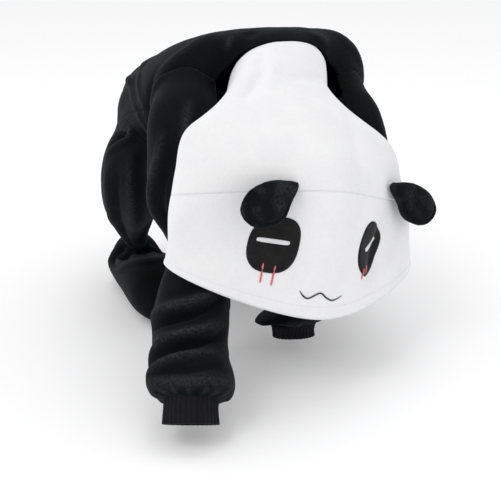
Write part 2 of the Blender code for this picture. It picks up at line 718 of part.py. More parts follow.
def ear(name, side, baseT, baseU):
    # flopped stuffed half-moon, sewn to the hood along its short side
    n = hoodForm.normal(baseT, baseU)
    along, round_ = hoodForm.slopes(baseT, baseU)
    out = unit(round_ * side)
    down = unit(along)
    reach = unit(out * 0.90 + n * 0.42)
    wide = unit(down - reach * float(np.dot(down, reach)))
    thick = unit(np.cross(reach, wide))
    start = hoodForm.base(baseT, baseU) + n * 0.35
    shape = splineRing([start + reach * a + wide * b for a, b in earOutline])
    rings, steps = 4, 20
    edge = [shape(i / steps) for i in range(steps)]
    middle = sum(edge) / steps
    points = list(edge)
    faces = []
    for face in (1, -1):
        first = len(points)
        for r in range(rings - 1, 0, -1):
            k = r / rings
            rise = thick * (face * earThick * 0.5 * math.sqrt(1 - k * k))
            points += [middle + (p - middle) * k + rise for p in edge]
        points.append(middle + thick * (face * earThick * 0.5))
        for i in range(steps):
            k = (i + 1) % steps
            faces.append((i, k, first + k, first + i))
            for r in range(rings - 2):
                row = first + r * steps
                faces.append((row + i, row + k, row + steps + k, row + steps + i))
            row = first + (rings - 2) * steps
            faces.append((row + i, row + k, len(points) - 1))
    obj = addMesh(name, points, faces, blackPlush)
    tidyMesh(obj)
    cutAway(obj, hoodSolids)
    return obj


hoodSolids = [solidForm("hood_face_cutter", hoodForm, faceGrid, seamGap * 1.5, (crossSeamT, 1.0)),
              solidForm("hood_back_cutter", hoodForm, (7, faceGrid[1]), seamGap * 1.5, (0.0, crossSeamT))]
ear("ear_right", -1, 0.581, -0.055)
ear("ear_left", 1, 0.545, 0.130)
for solid in hoodSolids:
    bpy.data.objects.remove(solid, do_unlink=True)
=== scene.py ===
import bmesh
import bpy
import json
import math
import numpy as np
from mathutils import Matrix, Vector, noise
from mathutils.bvhtree import BVHTree
from mathutils.kdtree import KDTree

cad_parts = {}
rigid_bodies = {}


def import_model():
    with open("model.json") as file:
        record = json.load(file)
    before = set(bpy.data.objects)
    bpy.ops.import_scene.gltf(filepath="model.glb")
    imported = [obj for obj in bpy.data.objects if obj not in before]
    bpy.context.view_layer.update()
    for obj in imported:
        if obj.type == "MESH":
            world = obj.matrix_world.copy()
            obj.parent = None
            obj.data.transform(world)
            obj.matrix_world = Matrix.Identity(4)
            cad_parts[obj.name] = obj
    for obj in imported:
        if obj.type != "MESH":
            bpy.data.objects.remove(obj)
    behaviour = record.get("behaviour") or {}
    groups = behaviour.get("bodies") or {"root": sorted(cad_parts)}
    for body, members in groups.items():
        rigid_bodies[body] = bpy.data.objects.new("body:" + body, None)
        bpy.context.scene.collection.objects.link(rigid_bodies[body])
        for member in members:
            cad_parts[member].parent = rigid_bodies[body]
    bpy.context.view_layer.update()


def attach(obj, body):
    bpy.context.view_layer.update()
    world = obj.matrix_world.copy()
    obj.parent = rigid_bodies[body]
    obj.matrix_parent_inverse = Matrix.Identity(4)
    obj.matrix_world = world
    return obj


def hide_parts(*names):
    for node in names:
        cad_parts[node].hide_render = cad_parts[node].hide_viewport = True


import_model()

# lengths in the tables are centimetres above the floor, moved so the hold point is the origin
cm = 0.01
holdY = 4.0
holdZ = 36.2
floorZ = -holdZ * cm


def vec(x, y, z):
    return np.array((x, y, z), float)


def unit(v):
    return v / max(1e-9, float(np.linalg.norm(v)))


def toFrame(points):
    return (np.asarray(points) - vec(0, holdY, holdZ)) * cm


def catmull(a, b, c, d, k):
    return 0.5 * (2 * b + (c - a) * k + (2 * a - 5 * b + 4 * c - d) * k * k + (3 * b - a - 3 * c + d) * k ** 3)


def superRing(centre, along, across, depth, width, corner):
    # rounded section, u=0 on the outer edge and u=0.25 to the wearer's left
    def at(u):
        c = np.cos(2 * math.pi * u)
        s = np.sin(2 * math.pi * u)
        r = (abs(c) ** corner + abs(s) ** corner) ** (-1.0 / corner)
        return centre + (c * r)[:, None] * along * depth + (s * r)[:, None] * across * width
    return at


def planeRing(origin, heading, row):
    inAlong, inUp, outAlong, outUp, shift, width, corner = row
    ahead = unit(vec(math.sin(math.radians(heading)), -math.cos(math.radians(heading)), 0))
    across = vec(-ahead[1], ahead[0], 0)
    inner = origin + ahead * inAlong + vec(0, 0, inUp) + across * shift
    outer = origin + ahead * outAlong + vec(0, 0, outUp) + across * shift
    depth = float(np.linalg.norm(outer - inner)) / 2
    return superRing((inner + outer) / 2, unit(outer - inner), across, depth, width, corner)


def freeRing(row):
    x, y, z, heading, lean, roll, depth, width, corner = row
    heading, lean, roll = (math.radians(a) for a in (heading, lean, roll))
    ahead = vec(math.sin(heading), -math.cos(heading), 0)
    along = ahead * math.cos(lean) + vec(0, 0, 1) * math.sin(lean)
    level = vec(math.cos(heading), math.sin(heading), 0)
    across = level * math.cos(roll) - np.cross(along, level) * math.sin(roll)
    return superRing(vec(x, y, z), along, across, depth, width, corner)


def splineRing(points):
    points = np.array(points)
    count = len(points)

    def at(u):
        f = (u % 1.0) * count
        i = np.floor(f).astype(int) % count
        k = (f - np.floor(f))[:, None]
        return catmull(*(points[(i + j) % count] for j in (-1, 0, 1, 2)), k)
    return at


class Form:
    # smooth tube through closed sections, t runs along it and u runs round it
    def __init__(self, rings):
        self.rings = rings
        self.facing = 1.0
        u = np.arange(8) / 8
        spots = self.spot(np.full(8, 0.5), u)
        if float(np.dot(self.normal(np.full(8, 0.5), u)[0], spots[0] - spots.mean(0))) < 0:
            self.facing = -1.0

    def spot(self, t, u):
        last = len(self.rings) - 1
        f = np.clip(t, 0, 1) * last
        i = np.minimum(f.astype(int), last - 1)
        k = (f - i)[:, None]
        every = np.array([ring(u) for ring in self.rings])
        n = np.arange(len(u))
        b = every[i, n]
        c = every[i + 1, n]
        a = np.where((i > 0)[:, None], every[np.maximum(i - 1, 0), n], 2 * b - c)
        d = np.where((i + 2 <= last)[:, None], every[np.minimum(i + 2, last), n], 2 * c - b)
        return catmull(a, b, c, d, k)

    def normal(self, t, u):
        h = 0.004
        t = np.clip(t, h, 0.985)
        n = np.cross(self.spot(t, u + h) - self.spot(t, u - h), self.spot(t + h, u) - self.spot(t - h, u))
        return n / np.maximum(1e-9, np.linalg.norm(n, axis=1))[:, None] * self.facing

    def grid(self, span, sweep, counts, whole=True):
        t = np.linspace(span[0], span[1], counts[0] + 1)
        u = np.linspace(sweep[0], sweep[1], counts[1] + 1)
        if whole:
            u = u[:-1]
        tt, uu = (g.ravel() for g in np.meshgrid(t, u, indexing="ij"))
        return tt, uu

    def line(self, marks, steps=10):
        # broken line over the form through (t, u) marks, metres
        t = []
        u = []
        for (t0, u0), (t1, u1) in zip(marks[:-1], marks[1:]):
            k = np.linspace(0, 1, steps)
            t.extend(t0 + (t1 - t0) * k)
            u.extend(u0 + (u1 - u0) * k)
        return toFrame(self.spot(np.array(t), np.array(u)))


def linked(name, data):
    obj = bpy.data.objects.new(name, data)
    bpy.context.collection.objects.link(obj)
    return obj


def meshPiece(name, points, faces, mats=()):
    mesh = bpy.data.meshes.new(name)
    mesh.from_pydata([tuple(p) for p in points], [], [tuple(int(i) for i in f) for f in faces])
    mesh.validate()
    for mat in mats:
        mesh.materials.append(mat)
    mesh.polygons.foreach_set("use_smooth", [True] * len(mesh.polygons))
    return linked(name, mesh)


def gridFaces(rows, cols, whole=True, first=0):
    faces = []
    for i in range(rows):
        for j in range(cols):
            k = (j + 1) % cols if whole else j + 1
            w = cols if whole else cols + 1
            low = first + i * w
            faces.append((low + j, low + k, low + w + k, low + w + j))
    return faces


def faceOut(obj):
    bm = bmesh.new()
    bm.from_mesh(obj.data)
    bmesh.ops.remove_doubles(bm, verts=bm.verts, dist=0.00002)
    bmesh.ops.recalc_face_normals(bm, faces=bm.faces)
    if bm.calc_volume() < 0:
        bmesh.ops.reverse_faces(bm, faces=bm.faces)
    bm.to_mesh(obj.data)
    bm.free()


def applyAll(obj):
    graph = bpy.context.evaluated_depsgraph_get()
    mesh = bpy.data.meshes.new_from_object(obj.evaluated_get(graph))
    obj.modifiers.clear()
    old = obj.data
    obj.data = mesh
    bpy.data.meshes.remove(old)
    mesh.polygons.foreach_set("use_smooth", [True] * len(mesh.polygons))


def thicken(obj, wall, offset=-1.0):
    mod = obj.modifiers.new("wall", "SOLIDIFY")
    mod.thickness = wall
    mod.offset = offset
    mod.use_even_offset = False
    applyAll(obj)
    faceOut(obj)


def pull(items, key, size=1, kind=float):
    out = np.empty(len(items) * size, kind)
    items.foreach_get(key, out)
    return out if size == 1 else out.reshape(-1, size)


def coords(mesh):
    return pull(mesh.vertices, "co", 3)


def normals(mesh):
    return pull(mesh.vertex_normals, "vector", 3)


def setCoords(mesh, points):
    mesh.vertices.foreach_set("co", np.asarray(points).ravel())
    mesh.update()


def faceAlong(obj, directions):
    if float(np.mean(np.sum(normals(obj.data) * directions, axis=1))) < 0:
        obj.data.flip_normals()


def repaint(obj, mat):
    obj.data.materials.clear()
    obj.data.materials.append(mat)


def revoxel(obj, size):
    mod = obj.modifiers.new("join", "REMESH")
    mod.mode = "VOXEL"
    mod.voxel_size = size
    applyAll(obj)
    faceOut(obj)


def treeOf(points):
    tree = KDTree(len(points))
    for i, p in enumerate(points):
        tree.insert(p, i)
    tree.balance()
    return tree


def settle(tree, points, directions):
    # each point moved along its direction on to a finished surface
    start, reach = 0.03, 0.06
    made = []
    for p, n in zip(points, directions):
        hit = tree.ray_cast(Vector(p + n * start), Vector(-n), reach)[0]
        made.append(np.array(hit) if hit is not None else p)
    return np.array(made)


def lineDistance(points, line):
    # nearest distance to a broken line and how far along it that is, 0 to 1
    best = np.full(len(points), 1e9)
    where = np.zeros(len(points))
    steps = np.linalg.norm(np.diff(line, axis=0), axis=1)
    total = steps.sum()
    done = 0.0
    for a, b, step in zip(line[:-1], line[1:], steps):
        if step > 1e-7:
            k = np.clip(((points - a) @ (b - a)) / step ** 2, 0, 1)
            d = np.linalg.norm(points - a - k[:, None] * (b - a), axis=1)
            near = d < best
            best[near] = d[near]
            where[near] = (done + k[near] * step) / total
        done += step
    return best, where


foldPlan = {"gain": 1.35, "reach": 0.03, "crisp": 2.0, "endStart": 0.08, "endSpan": 0.84, "endPower": 0.8,
            "sheenWidth": 0.0055}


def pressFolds(mesh, form, folds):
    # soft ridges and troughs: marks along the form, width and height in centimetres
    points = coords(mesh)
    out = normals(mesh)
    shift = np.zeros(len(points))
    ridge = mesh.attributes.get("ridge") or mesh.attributes.new("ridge", "FLOAT", "POINT")
    paintedSheen = pull(ridge.data, "value")
    for fold in folds:
        marks, width, height = fold[:3]
        crisp = fold[3] if len(fold) > 3 else foldPlan["crisp"]
        line = form.line(marks)
        margin = width * foldPlan["reach"]
        near = np.all((points > line.min(0) - margin) & (points < line.max(0) + margin), axis=1)
        spots = np.nonzero(near)[0]
        if len(spots):
            dist, where = lineDistance(points[spots], line)
            ends = np.sin(math.pi * (foldPlan["endStart"] + foldPlan["endSpan"] * where))
            ends = ends ** foldPlan["endPower"]
            shift[spots] += foldPlan["gain"] * height * cm * ends * np.exp(-(dist / (width * cm)) ** crisp)
            # raised folds get a painted highlight along their crest, kept as a point attribute that lightens the
            # base colour
            if height > 0:
                crest = ends * np.exp(-(dist / (width * foldPlan["sheenWidth"])) ** 2)
                paintedSheen[spots] = np.maximum(paintedSheen[spots], crest)
    ridge.data.foreach_set("value", paintedSheen)
    setCoords(mesh, points + out * shift[:, None])


def roughen(mesh, scale, amount, seed):
    # small uneven swell of worn cloth
    points = coords(mesh)
    out = normals(mesh)
    shift = np.array([noise.noise(Vector(p) * scale + Vector((seed, 3.1, 7.7))) for p in points])
    setCoords(mesh, points + out * (shift * amount)[:, None])


# cloth sizes, metres
clothWall = 0.0020
hoodWall = 0.0024

bodyRows = (
    (-4.6, 26.6, 0.3, 36.0, 0.4, 5.8, 2.4),
    (-5.2, 24.6, -1.2, 36.8, 0.0, 10.2, 2.3),
    (-6.4, 22.8, -3.2, 37.0, 0.0, 12.8, 2.5),
    (-9.0, 21.4, -7.0, 36.6, 0.0, 13.4, 2.6),
    (-12.5, 20.2, -11.5, 35.7, 0.0, 13.4, 2.6),
    (-17.0, 19.0, -17.0, 34.3, 0.0, 12.9, 2.6),
    (-21.5, 17.8, -22.5, 32.6, 0.0, 12.8, 2.6),
    (-26.0, 16.4, -28.0, 30.6, 0.0, 12.6, 2.6),
    (-30.5, 15.0, -33.0, 27.8, 0.0, 11.8, 2.5),
    (-34.0, 14.0, -37.0, 23.8, 0.0, 9.6, 2.3),
    (-36.5, 14.6, -38.8, 20.0, 0.0, 5.8, 2.0),
    (-37.6, 17.0, -37.7, 17.1, 0.0, 0.05, 2.0),
)
sleeveRightRows = (
    (-8.6, 6.2, 31.0, -15, 40, 8, 4.0, 3.4, 2.1),
    (-10.9, 1.6, 28.2, -18, 28, 6, 4.4, 3.9, 2.1),
    (-11.8, -1.5, 23.8, -20, 14, 4, 4.3, 4.1, 2.2),
    (-12.2, -3.5, 19.4, -20, 9, 3, 3.9, 4.1, 2.2),
    (-11.6, -5.2, 15.0, -20, 18, 0, 3.3, 2.7, 2.1),
    (-12.9, -7.8, 12.0, -21, 32, 0, 3.8, 3.6, 2.2),
    (-14.4, -11.2, 9.3, -21, 38, 0, 4.1, 4.0, 2.2),
    (-15.5, -14.2, 7.0, -21, 40, 0, 3.8, 3.9, 2.2),
    (-16.2, -16.6, 5.3, -21, 42, 0, 4.2, 4.4, 2.3),
    (-16.6, -18.0, 4.4, -21, 42, 0, 3.8, 4.2, 2.3),
    (-16.8, -18.7, 4.0, -21, 40, 0, 2.6, 2.7, 2.1),
)
cuffRightRows = (
    (-17.1, -19.4, 3.3, -21, 38, 0, 2.4, 2.7, 2.1),
    (-17.4, -20.3, 2.2, -21, 32, 0, 2.4, 2.8, 2.1),
)
sleeveLeftRows = (
    (8.6, 6.8, 30.4, 0, 40, -8, 3.8, 2.9, 2.1),
    (9.4, 2.8, 27.4, -5, 25, -5, 4.2, 3.3, 2.1),
    (9.2, 0.2, 22.5, -8, 10, -2, 4.0, 3.8, 2.2),
    (8.4, -1.0, 17.2, -10, 6, -18, 3.8, 3.7, 2.2),
    (6.4, -1.8, 12.2, -10, 6, -35, 3.8, 3.8, 2.2),
    (3.4, -2.7, 7.7, -12, 8, -30, 4.3, 4.9, 2.2),
    (1.2, -2.9, 4.7, -12, 10, -12, 4.4, 5.3, 2.2),
    (0.8, -3.0, 3.2, -12, 12, -5, 2.6, 2.7, 2.1),
)
cuffLeftRows = (
    (0.6, -3.2, 2.5, -12, 12, 0, 2.3, 2.5, 2.1),
    (0.6, -3.4, 1.7, -12, 12, 0, 2.3, 2.5, 2.1),
)
legRows = (
    (-1.0, 16.6, -1.5, 22.6, 0.0, 4.0, 2.1),
    (2.4, 15.6, 2.6, 24.2, 0.0, 5.2, 2.1),
    (6.0, 15.2, 8.0, 24.9, 0.0, 5.7, 2.1),
    (9.0, 15.3, 14.0, 24.4, 0.0, 5.5, 2.1),
    (10.0, 15.5, 18.8, 23.4, -0.1, 5.3, 2.1),
    (10.2, 15.2, 22.6, 21.2, -0.3, 5.1, 2.0),
    (10.1, 14.8, 23.4, 17.4, -0.6, 4.9, 2.0),
    (9.9, 14.3, 20.4, 13.2, -1.5, 4.1, 2.0),
    (9.2, 13.4, 16.2, 10.4, -2.4, 3.0, 2.0),
    (8.0, 11.0, 12.6, 8.0, -2.9, 2.1, 2.0),
    (6.9, 8.4, 10.0, 5.8, -2.9, 1.6, 2.0),
    (6.3, 7.0, 8.8, 4.9, -2.8, 1.40, 2.0),
)
footRows = (
    (-3.8, 5.9, 1.6, 4.2, 0.0, 2.8, 2.1),
    (-4.4, 2.2, 2.2, 4.4, 0.0, 3.9, 2.2),
    (-1.8, 0.5, 3.4, 5.0, 0.0, 4.3, 2.3),
    (2.6, 0.35, 5.6, 5.9, 0.0, 4.5, 2.4),
    (8.2, 0.35, 9.4, 6.4, 0.0, 4.6, 2.5),
    (14.0, 0.4, 13.8, 5.9, 0.0, 4.5, 2.5),
    (17.4, 0.8, 17.0, 4.2, 0.0, 3.3, 2.3),
    (18.6, 2.35, 18.6, 2.45, 0.0, 0.05, 2.0),
)
hoodRows = (
    ((-3.9, -6.0), (0.0, -4.0, 4.6), (2.4, -2.7, 5.8), (3.7, -1.5, 7.0), (3.9, 0.9, 5.0), (4.2, 2.1)),
    ((-3.4, -7.2), (1.8, -6.2, 4.8), (6.0, -5.6, 8.2), (6.4, -4.8, 12.9), (7.8, -2.8, 6.9), (9.4, -1.8)),
    ((-3.0, -8.2), (3.2, -8.8, 4.6), (7.4, -9.0, 8.8), (7.7, -8.8, 14.5), (11.4, -7.2, 7.2), (13.6, -6.0)),
    ((-2.6, -9.0), (4.6, -11.0, 4.3), (8.0, -12.2, 9.2), (8.7, -12.6, 15.3), (12.4, -11.2, 6.9), (15.4, -10.4)),
    ((-2.3, -9.6), (5.6, -12.8, 4.1), (8.5, -14.6, 9.6), (9.0, -15.8, 15.6), (12.4, -16.0, 7.6), (15.2, -15.6)),
    ((-2.0, -10.2), (6.4, -14.2, 4.1), (8.9, -16.2, 10.0), (9.4, -18.2, 16.0), (13.5, -20.9, 9.2), (15.9, -22.3)),
)
hoodLean = (-1.7, -1.2, -0.8, -0.4, 0.0, 0.0)
hoodShare = (0.6, 0.9, 1.0, 1.0, 1.0, 1.0)
hoodOrigin = vec(0.0, 0.5, 31.0)
hoodTurn = 9.0
hoodTilt = 10.0


def limbRings(origin, heading, rows, mirror=False):
    rings = []
    for row in rows:
        row = list(row)
        if mirror:
            row[4] = -row[4]
        rings.append(planeRing(origin, heading, row))
    return rings


def hoodRing(row, share, lean):
    turn = math.radians(hoodTurn * share)
    tilt = math.radians(hoodTilt * share)
    ahead = vec(math.sin(turn), -math.cos(turn), 0)
    level = vec(math.cos(turn), math.sin(turn), 0)
    across = level * math.cos(tilt) - vec(0, 0, 1) * math.sin(tilt)
    up = vec(0, 0, 1) * math.cos(tilt) + level * math.sin(tilt)

    def at(f, u, w=0.0):
        return hoodOrigin + ahead * f + up * u + across * (w + lean)

    throat, inner, pocket, corner, brow, front = row
    left = [at(*brow), at(*corner), at(*pocket), at(*inner)]
    right = [at(p[0], p[1], -p[2]) for p in (inner, pocket, corner, brow)]
    return splineRing([at(*front)] + left + [at(*throat)] + right)


legRightAt, legRightHeading = vec(-5.4, 31.0, 0.0), -23.5
legLeftAt, legLeftHeading = vec(5.4, 31.0, 0.0), 12.0
footRightAt, footLeftAt = vec(-11.0, 25.0, 0.0), vec(9.7, 24.0, 0.0)
ankleT = (len(legRows) - 1) / (len(legRows) + len(footRows) - 1)

torso = Form([planeRing(vec(0, 0, 0), 0.0, row) for row in bodyRows])
neckRing = torso.rings[0]
neckAcross = unit(vec(0.0, -0.886, -0.463))
sleeveRight = Form([freeRing(r) for r in sleeveRightRows])
sleeveLeft = Form([freeRing(r) for r in sleeveLeftRows])
cuffRight = Form([sleeveRight.rings[-1]] + [freeRing(r) for r in cuffRightRows])
cuffLeft = Form([sleeveLeft.rings[-1]] + [freeRing(r) for r in cuffLeftRows])
legRight = Form(limbRings(legRightAt, legRightHeading, legRows) + limbRings(footRightAt, 0.0, footRows))
legLeft = Form(limbRings(legLeftAt, legLeftHeading, legRows, True) + limbRings(footLeftAt, 4.0, footRows, True))
hood = Form([neckRing] + [hoodRing(*r) for r in zip(hoodRows, hoodShare, hoodLean)])
print("forms ready")


class Wire:
    # a node output that can be added, multiplied and so on
    def __init__(self, net, socket):
        self.net = net
        self.socket = socket

    def sum(self, operation, other, swap=False):
        a, b = (other, self) if swap else (self, other)
        return self.net.node("ShaderNodeMath", {"operation": operation}, {0: a, 1: b})

    def __add__(self, other):
        return self.sum("ADD", other)

    def __radd__(self, other):
        return self.sum("ADD", other, True)

    def __sub__(self, other):
        return self.sum("SUBTRACT", other)

    def __rsub__(self, other):
        return self.sum("SUBTRACT", other, True)

    def __mul__(self, other):
        return self.sum("MULTIPLY", other)

    def __rmul__(self, other):
        return self.sum("MULTIPLY", other, True)

    def __pow__(self, other):
        return self.sum("POWER", other)


class Net:
    def __init__(self, tree):
        self.tree = tree

    def node(self, kind, settings=None, values=None, out=0):
        made = self.tree.nodes.new(kind)
        for key, value in (settings or {}).items():
            setattr(made, key, value)
        for key, value in (values or {}).items():
            if isinstance(value, Wire):
                self.tree.links.new(value.socket, made.inputs[key])
            else:
                made.inputs[key].default_value = value
        return Wire(self, made.outputs[out])

    def join(self, wire, node, key):
        self.tree.links.new(wire.socket, node.inputs[key])


def napMaterial(name, look):
    # piled cloth: lay patches, tufts and fibres from noise on the object's own coordinates
    mat = bpy.data.materials.new(name)
    mat.use_nodes = True
    net = Net(mat.node_tree)
    shader = mat.node_tree.nodes["Principled BSDF"]
    place = net.node("ShaderNodeTexCoord", out=3)
    patch = net.node("ShaderNodeTexNoise", None, {"Vector": place, "Scale": look["patch"], "Detail": 2.0})
    tuft = net.node("ShaderNodeTexNoise", None, {"Vector": place, "Scale": look["tuft"], "Detail": 3.0,
                                                 "Roughness": 0.6})
    fibre = net.node("ShaderNodeTexNoise", None, {"Vector": place, "Scale": look["fibre"], "Detail": 2.0,
                                                  "Roughness": 0.7})
    blend = patch * 0.45 + tuft * 0.30 + fibre * 0.25
    blend = net.node("ShaderNodeMapRange", None, {"Value": blend, "From Min": 0.35, "From Max": 0.65})
    mix = {"data_type": "RGBA"}
    colour = net.node("ShaderNodeMix", mix, {0: blend, 6: (*look["deep"], 1), 7: (*look["tip"], 1)}, out=2)
    if "ridge" in look:
        # painted highlight: base colour lightened along the fold crests in place of velour sheen, mottled by the
        # tufts; on the ears the same attribute holds random lay streaks
        crest = net.node("ShaderNodeAttribute", {"attribute_name": "ridge"}, out=2)
        uneven = net.node("ShaderNodeMapRange", None, {"Value": tuft, "From Min": 0.30, "From Max": 0.62})
        crest = crest * uneven
        colour = net.node("ShaderNodeMix", mix, {0: crest, 6: colour, 7: (*look["ridge"], 1)}, out=2)
    net.join(colour, shader, "Base Color")
    net.join(look["rough"] + (fibre - 0.5) * 0.12, shader, "Roughness")
    height = tuft * look["tuftShare"] + fibre * (1.0 - look["tuftShare"])
    bump = net.node("ShaderNodeBump", None,
                    {"Strength": look["bump"], "Distance": look["depth"], "Height": height})
    net.join(bump, shader, "Normal")
    shader.inputs["Specular IOR Level"].default_value = look["gloss"]
    shader.inputs["Sheen Weight"].default_value = look["sheen"]
    shader.inputs["Sheen Roughness"].default_value = look["sheenRough"]
    shader.inputs["Sheen Tint"].default_value = (*look["sheenTint"], 1)
    return mat


plush = napMaterial("black_velour", {
    # the third colour is the painted highlight laid along fold crests, bluish like the sheen
    "deep": (0.0006, 0.0008, 0.0010), "tip": (0.0044, 0.0054, 0.0064), "ridge": (0.030, 0.034, 0.040),
    "rough": 0.78, "gloss": 0.10,
    "patch": 22.0, "tuft": 380.0, "fibre": 1500.0, "tuftShare": 0.55, "bump": 0.75, "depth": 0.0014,
    "sheen": 0.06, "sheenRough": 0.28, "sheenTint": (0.72, 0.82, 1.0)})
rib = napMaterial("black_rib_knit", {
    "deep": (0.004, 0.004, 0.005), "tip": (0.011, 0.011, 0.013), "rough": 0.88, "gloss": 0.18,
    "patch": 20.0, "tuft": 420.0, "fibre": 1900.0, "tuftShare": 0.6, "bump": 0.5, "depth": 0.0007,
    "sheen": 0.08, "sheenRough": 0.4, "sheenTint": (0.85, 0.9, 1.0)})
fleece = napMaterial("white_fleece", {
    "deep": (0.83, 0.83, 0.845), "tip": (0.90, 0.90, 0.905), "rough": 0.92, "gloss": 0.15,
    "patch": 22.0, "tuft": 260.0, "fibre": 1300.0, "tuftShare": 0.5, "bump": 0.30, "depth": 0.0010,
    "sheen": 0.12, "sheenRough": 0.5, "sheenTint": (1.0, 1.0, 1.0)})
feltLook = {"patch": 60.0, "tuft": 620.0, "fibre": 2200.0, "tuftShare": 0.5, "sheenRough": 0.5}
felt = napMaterial("charcoal_felt", {
    **feltLook, "deep": (0.0075, 0.0078, 0.0076), "tip": (0.019, 0.019, 0.0185), "rough": 0.93, "gloss": 0.15,
    "bump": 0.4, "depth": 0.0005, "sheen": 0.10, "sheenTint": (1.0, 0.97, 0.97)})
whiteFelt = napMaterial("white_felt", {
    **feltLook, "deep": (0.74, 0.74, 0.76), "tip": (0.85, 0.85, 0.86), "rough": 0.9, "gloss": 0.2,
    "bump": 0.3, "depth": 0.0004, "sheen": 0.05, "sheenTint": (1.0, 1.0, 1.0)})
threadLook = {
    "rough": 0.6, "gloss": 0.4, "patch": 80.0, "tuft": 900.0, "fibre": 3000.0, "tuftShare": 0.5, "bump": 0.3,
    "depth": 0.0003, "sheen": 0.05, "sheenRough": 0.4, "sheenTint": (1.0, 1.0, 1.0)}
blackThread = napMaterial("black_thread", {
    **threadLook, "deep": (0.006, 0.006, 0.007), "tip": (0.016, 0.016, 0.018)})
whiteThread = napMaterial("white_thread", {
    **threadLook, "deep": (0.72, 0.72, 0.74), "tip": (0.84, 0.84, 0.86)})
pinkThread = napMaterial("pink_thread", {
    **threadLook, "deep": (0.60, 0.09, 0.14), "tip": (0.82, 0.19, 0.25), "rough": 0.55})
buttonMat = napMaterial("moulded_button", {
    "deep": (0.010, 0.010, 0.011), "tip": (0.014, 0.014, 0.015), "rough": 0.32, "gloss": 0.5,
    "patch": 90.0, "tuft": 500.0, "fibre": 1500.0, "tuftShare": 0.5, "bump": 0.04, "depth": 0.0002,
    "sheen": 0.0, "sheenRough": 0.4, "sheenTint": (1.0, 1.0, 1.0)})
print("materials made")

# folds: marks (t, u) on the form, then width and height in centimetres, then how crisp
torsoFolds = (
    (((0.20, -0.09), (0.18, -0.13), (0.19, -0.175), (0.18, -0.25), (0.235, -0.32)), 0.9, 0.50),
    (((0.25, -0.19), (0.26, -0.25), (0.29, -0.32)), 0.8, -0.50),
    (((0.54, -0.155), (0.45, -0.22), (0.36, -0.29), (0.325, -0.34)), 0.7, 0.45),
    (((0.48, -0.12), (0.40, -0.19), (0.32, -0.26)), 0.6, 0.30),
    (((0.02, -0.25), (0.055, -0.265), (0.08, -0.28)), 0.6, 0.35),
    (((0.03, -0.20), (0.07, -0.22), (0.11, -0.25)), 0.5, -0.35, 1.5),
    (((0.09, -0.08), (0.055, -0.12)), 0.6, 0.30),
    (((0.12, -0.03), (0.09, -0.05), (0.07, -0.07)), 0.7, -0.25),
    (((0.44, -0.16), (0.54, -0.20), (0.62, -0.23)), 1.1, 0.35),
    (((0.50, -0.12), (0.60, -0.16), (0.70, -0.20)), 1.2, -0.30),
    (((0.58, -0.10), (0.70, -0.15)), 1.2, 0.35),
    (((0.70, -0.04), (0.76, -0.10), (0.80, -0.16)), 1.1, -0.35),
    (((0.20, 0.08), (0.18, 0.13), (0.18, 0.19), (0.20, 0.26)), 1.0, 0.50),
    (((0.24, 0.15), (0.26, 0.21), (0.29, 0.29)), 0.8, -0.45),
    (((0.50, 0.13), (0.42, 0.20), (0.34, 0.27)), 0.7, 0.40),
    (((0.08, 0.07), (0.05, 0.12)), 0.6, 0.30),
    (((0.46, 0.12), (0.58, 0.18), (0.66, 0.22)), 1.2, -0.35),
    (((0.56, 0.08), (0.70, 0.14)), 1.2, 0.35),
    (((0.72, 0.04), (0.78, 0.12), (0.82, 0.18)), 1.1, -0.35),
    (((0.84, -0.04), (0.86, 0.04)), 1.2, 0.30),
    (((0.84, -0.20), (0.88, -0.10)), 0.9, 0.30),
    (((0.83, 0.22), (0.88, 0.12)), 0.9, 0.30),
    (((0.30, 0.43), (0.34, 0.48)), 1.1, -0.35),
    (((0.46, 0.42), (0.50, 0.47)), 1.2, -0.35),
    (((0.48, 0.53), (0.50, 0.60)), 1.1, -0.35),
    (((0.64, 0.54), (0.62, 0.60)), 1.0, 0.30),
)


def splitSkin(obj, forms):
    # parts of the blended skin: nearest form, then place along it
    mesh = obj.data
    points = coords(mesh)
    dist = {}
    marks = {}
    for name, form in forms.items():
        tt, uu = form.grid((0, 1), (0, 1), (170, 130))
        tree = treeOf(toFrame(form.spot(tt, uu)))
        found = [tree.find(p) for p in points]
        dist[name] = np.array([f[2] for f in found])
        ids = np.array([f[1] for f in found])
        marks[name] = (tt[ids], uu[ids])
    return dist, marks


def relax(points, edges, weight, times):
    # neighbours' mean, weighted by vertex
    count = np.zeros(len(points))
    np.add.at(count, edges[:, 0], 1)
    np.add.at(count, edges[:, 1], 1)
    for _ in range(times):
        total = np.zeros_like(points)
        for axis in range(3):
            total[:, axis] += np.bincount(edges[:, 0], points[edges[:, 1], axis], len(points))
            total[:, axis] += np.bincount(edges[:, 1], points[edges[:, 0], axis], len(points))
        points = points + (total / np.maximum(count, 1)[:, None] - points) * weight[:, None]
    return points


def solidOf(form, counts, before=None, after=None):
    # closed copy of a form, with a ring more at each open end
    tt, uu = form.grid((0, 1), (0, 1), counts)
    points = form.spot(tt, uu)
    u = np.arange(counts[1]) / counts[1]
    rows = counts[0]
    if before is not None:
        points = np.vstack([before(u), points])
        rows += 1
    if after is not None:
        points = np.vstack([points, after(u)])
        rows += 1
    faces = gridFaces(rows, counts[1])
    faces.append(tuple(range(counts[1])))
    faces.append(tuple(range(rows * counts[1], (rows + 1) * counts[1])))
    return toFrame(points), faces


skinPlan = {"voxel": 0.0032, "pull": 0.5, "smooth": 5, "bodyFirst": 0.0012,
            "joinPull": 0.6, "joinReach": 0.026, "joinTimes": 140,
            "seamTimes": 14, "seamDepth": 0.0009, "seamWidth": 0.0035}
forms = {"torso": torso, "sleeve_right": sleeveRight, "sleeve_left": sleeveLeft, "leg_right": legRight,
         "leg_left": legLeft}


def pastNeck(u):
    return neckRing(u) + neckAcross * 1.6


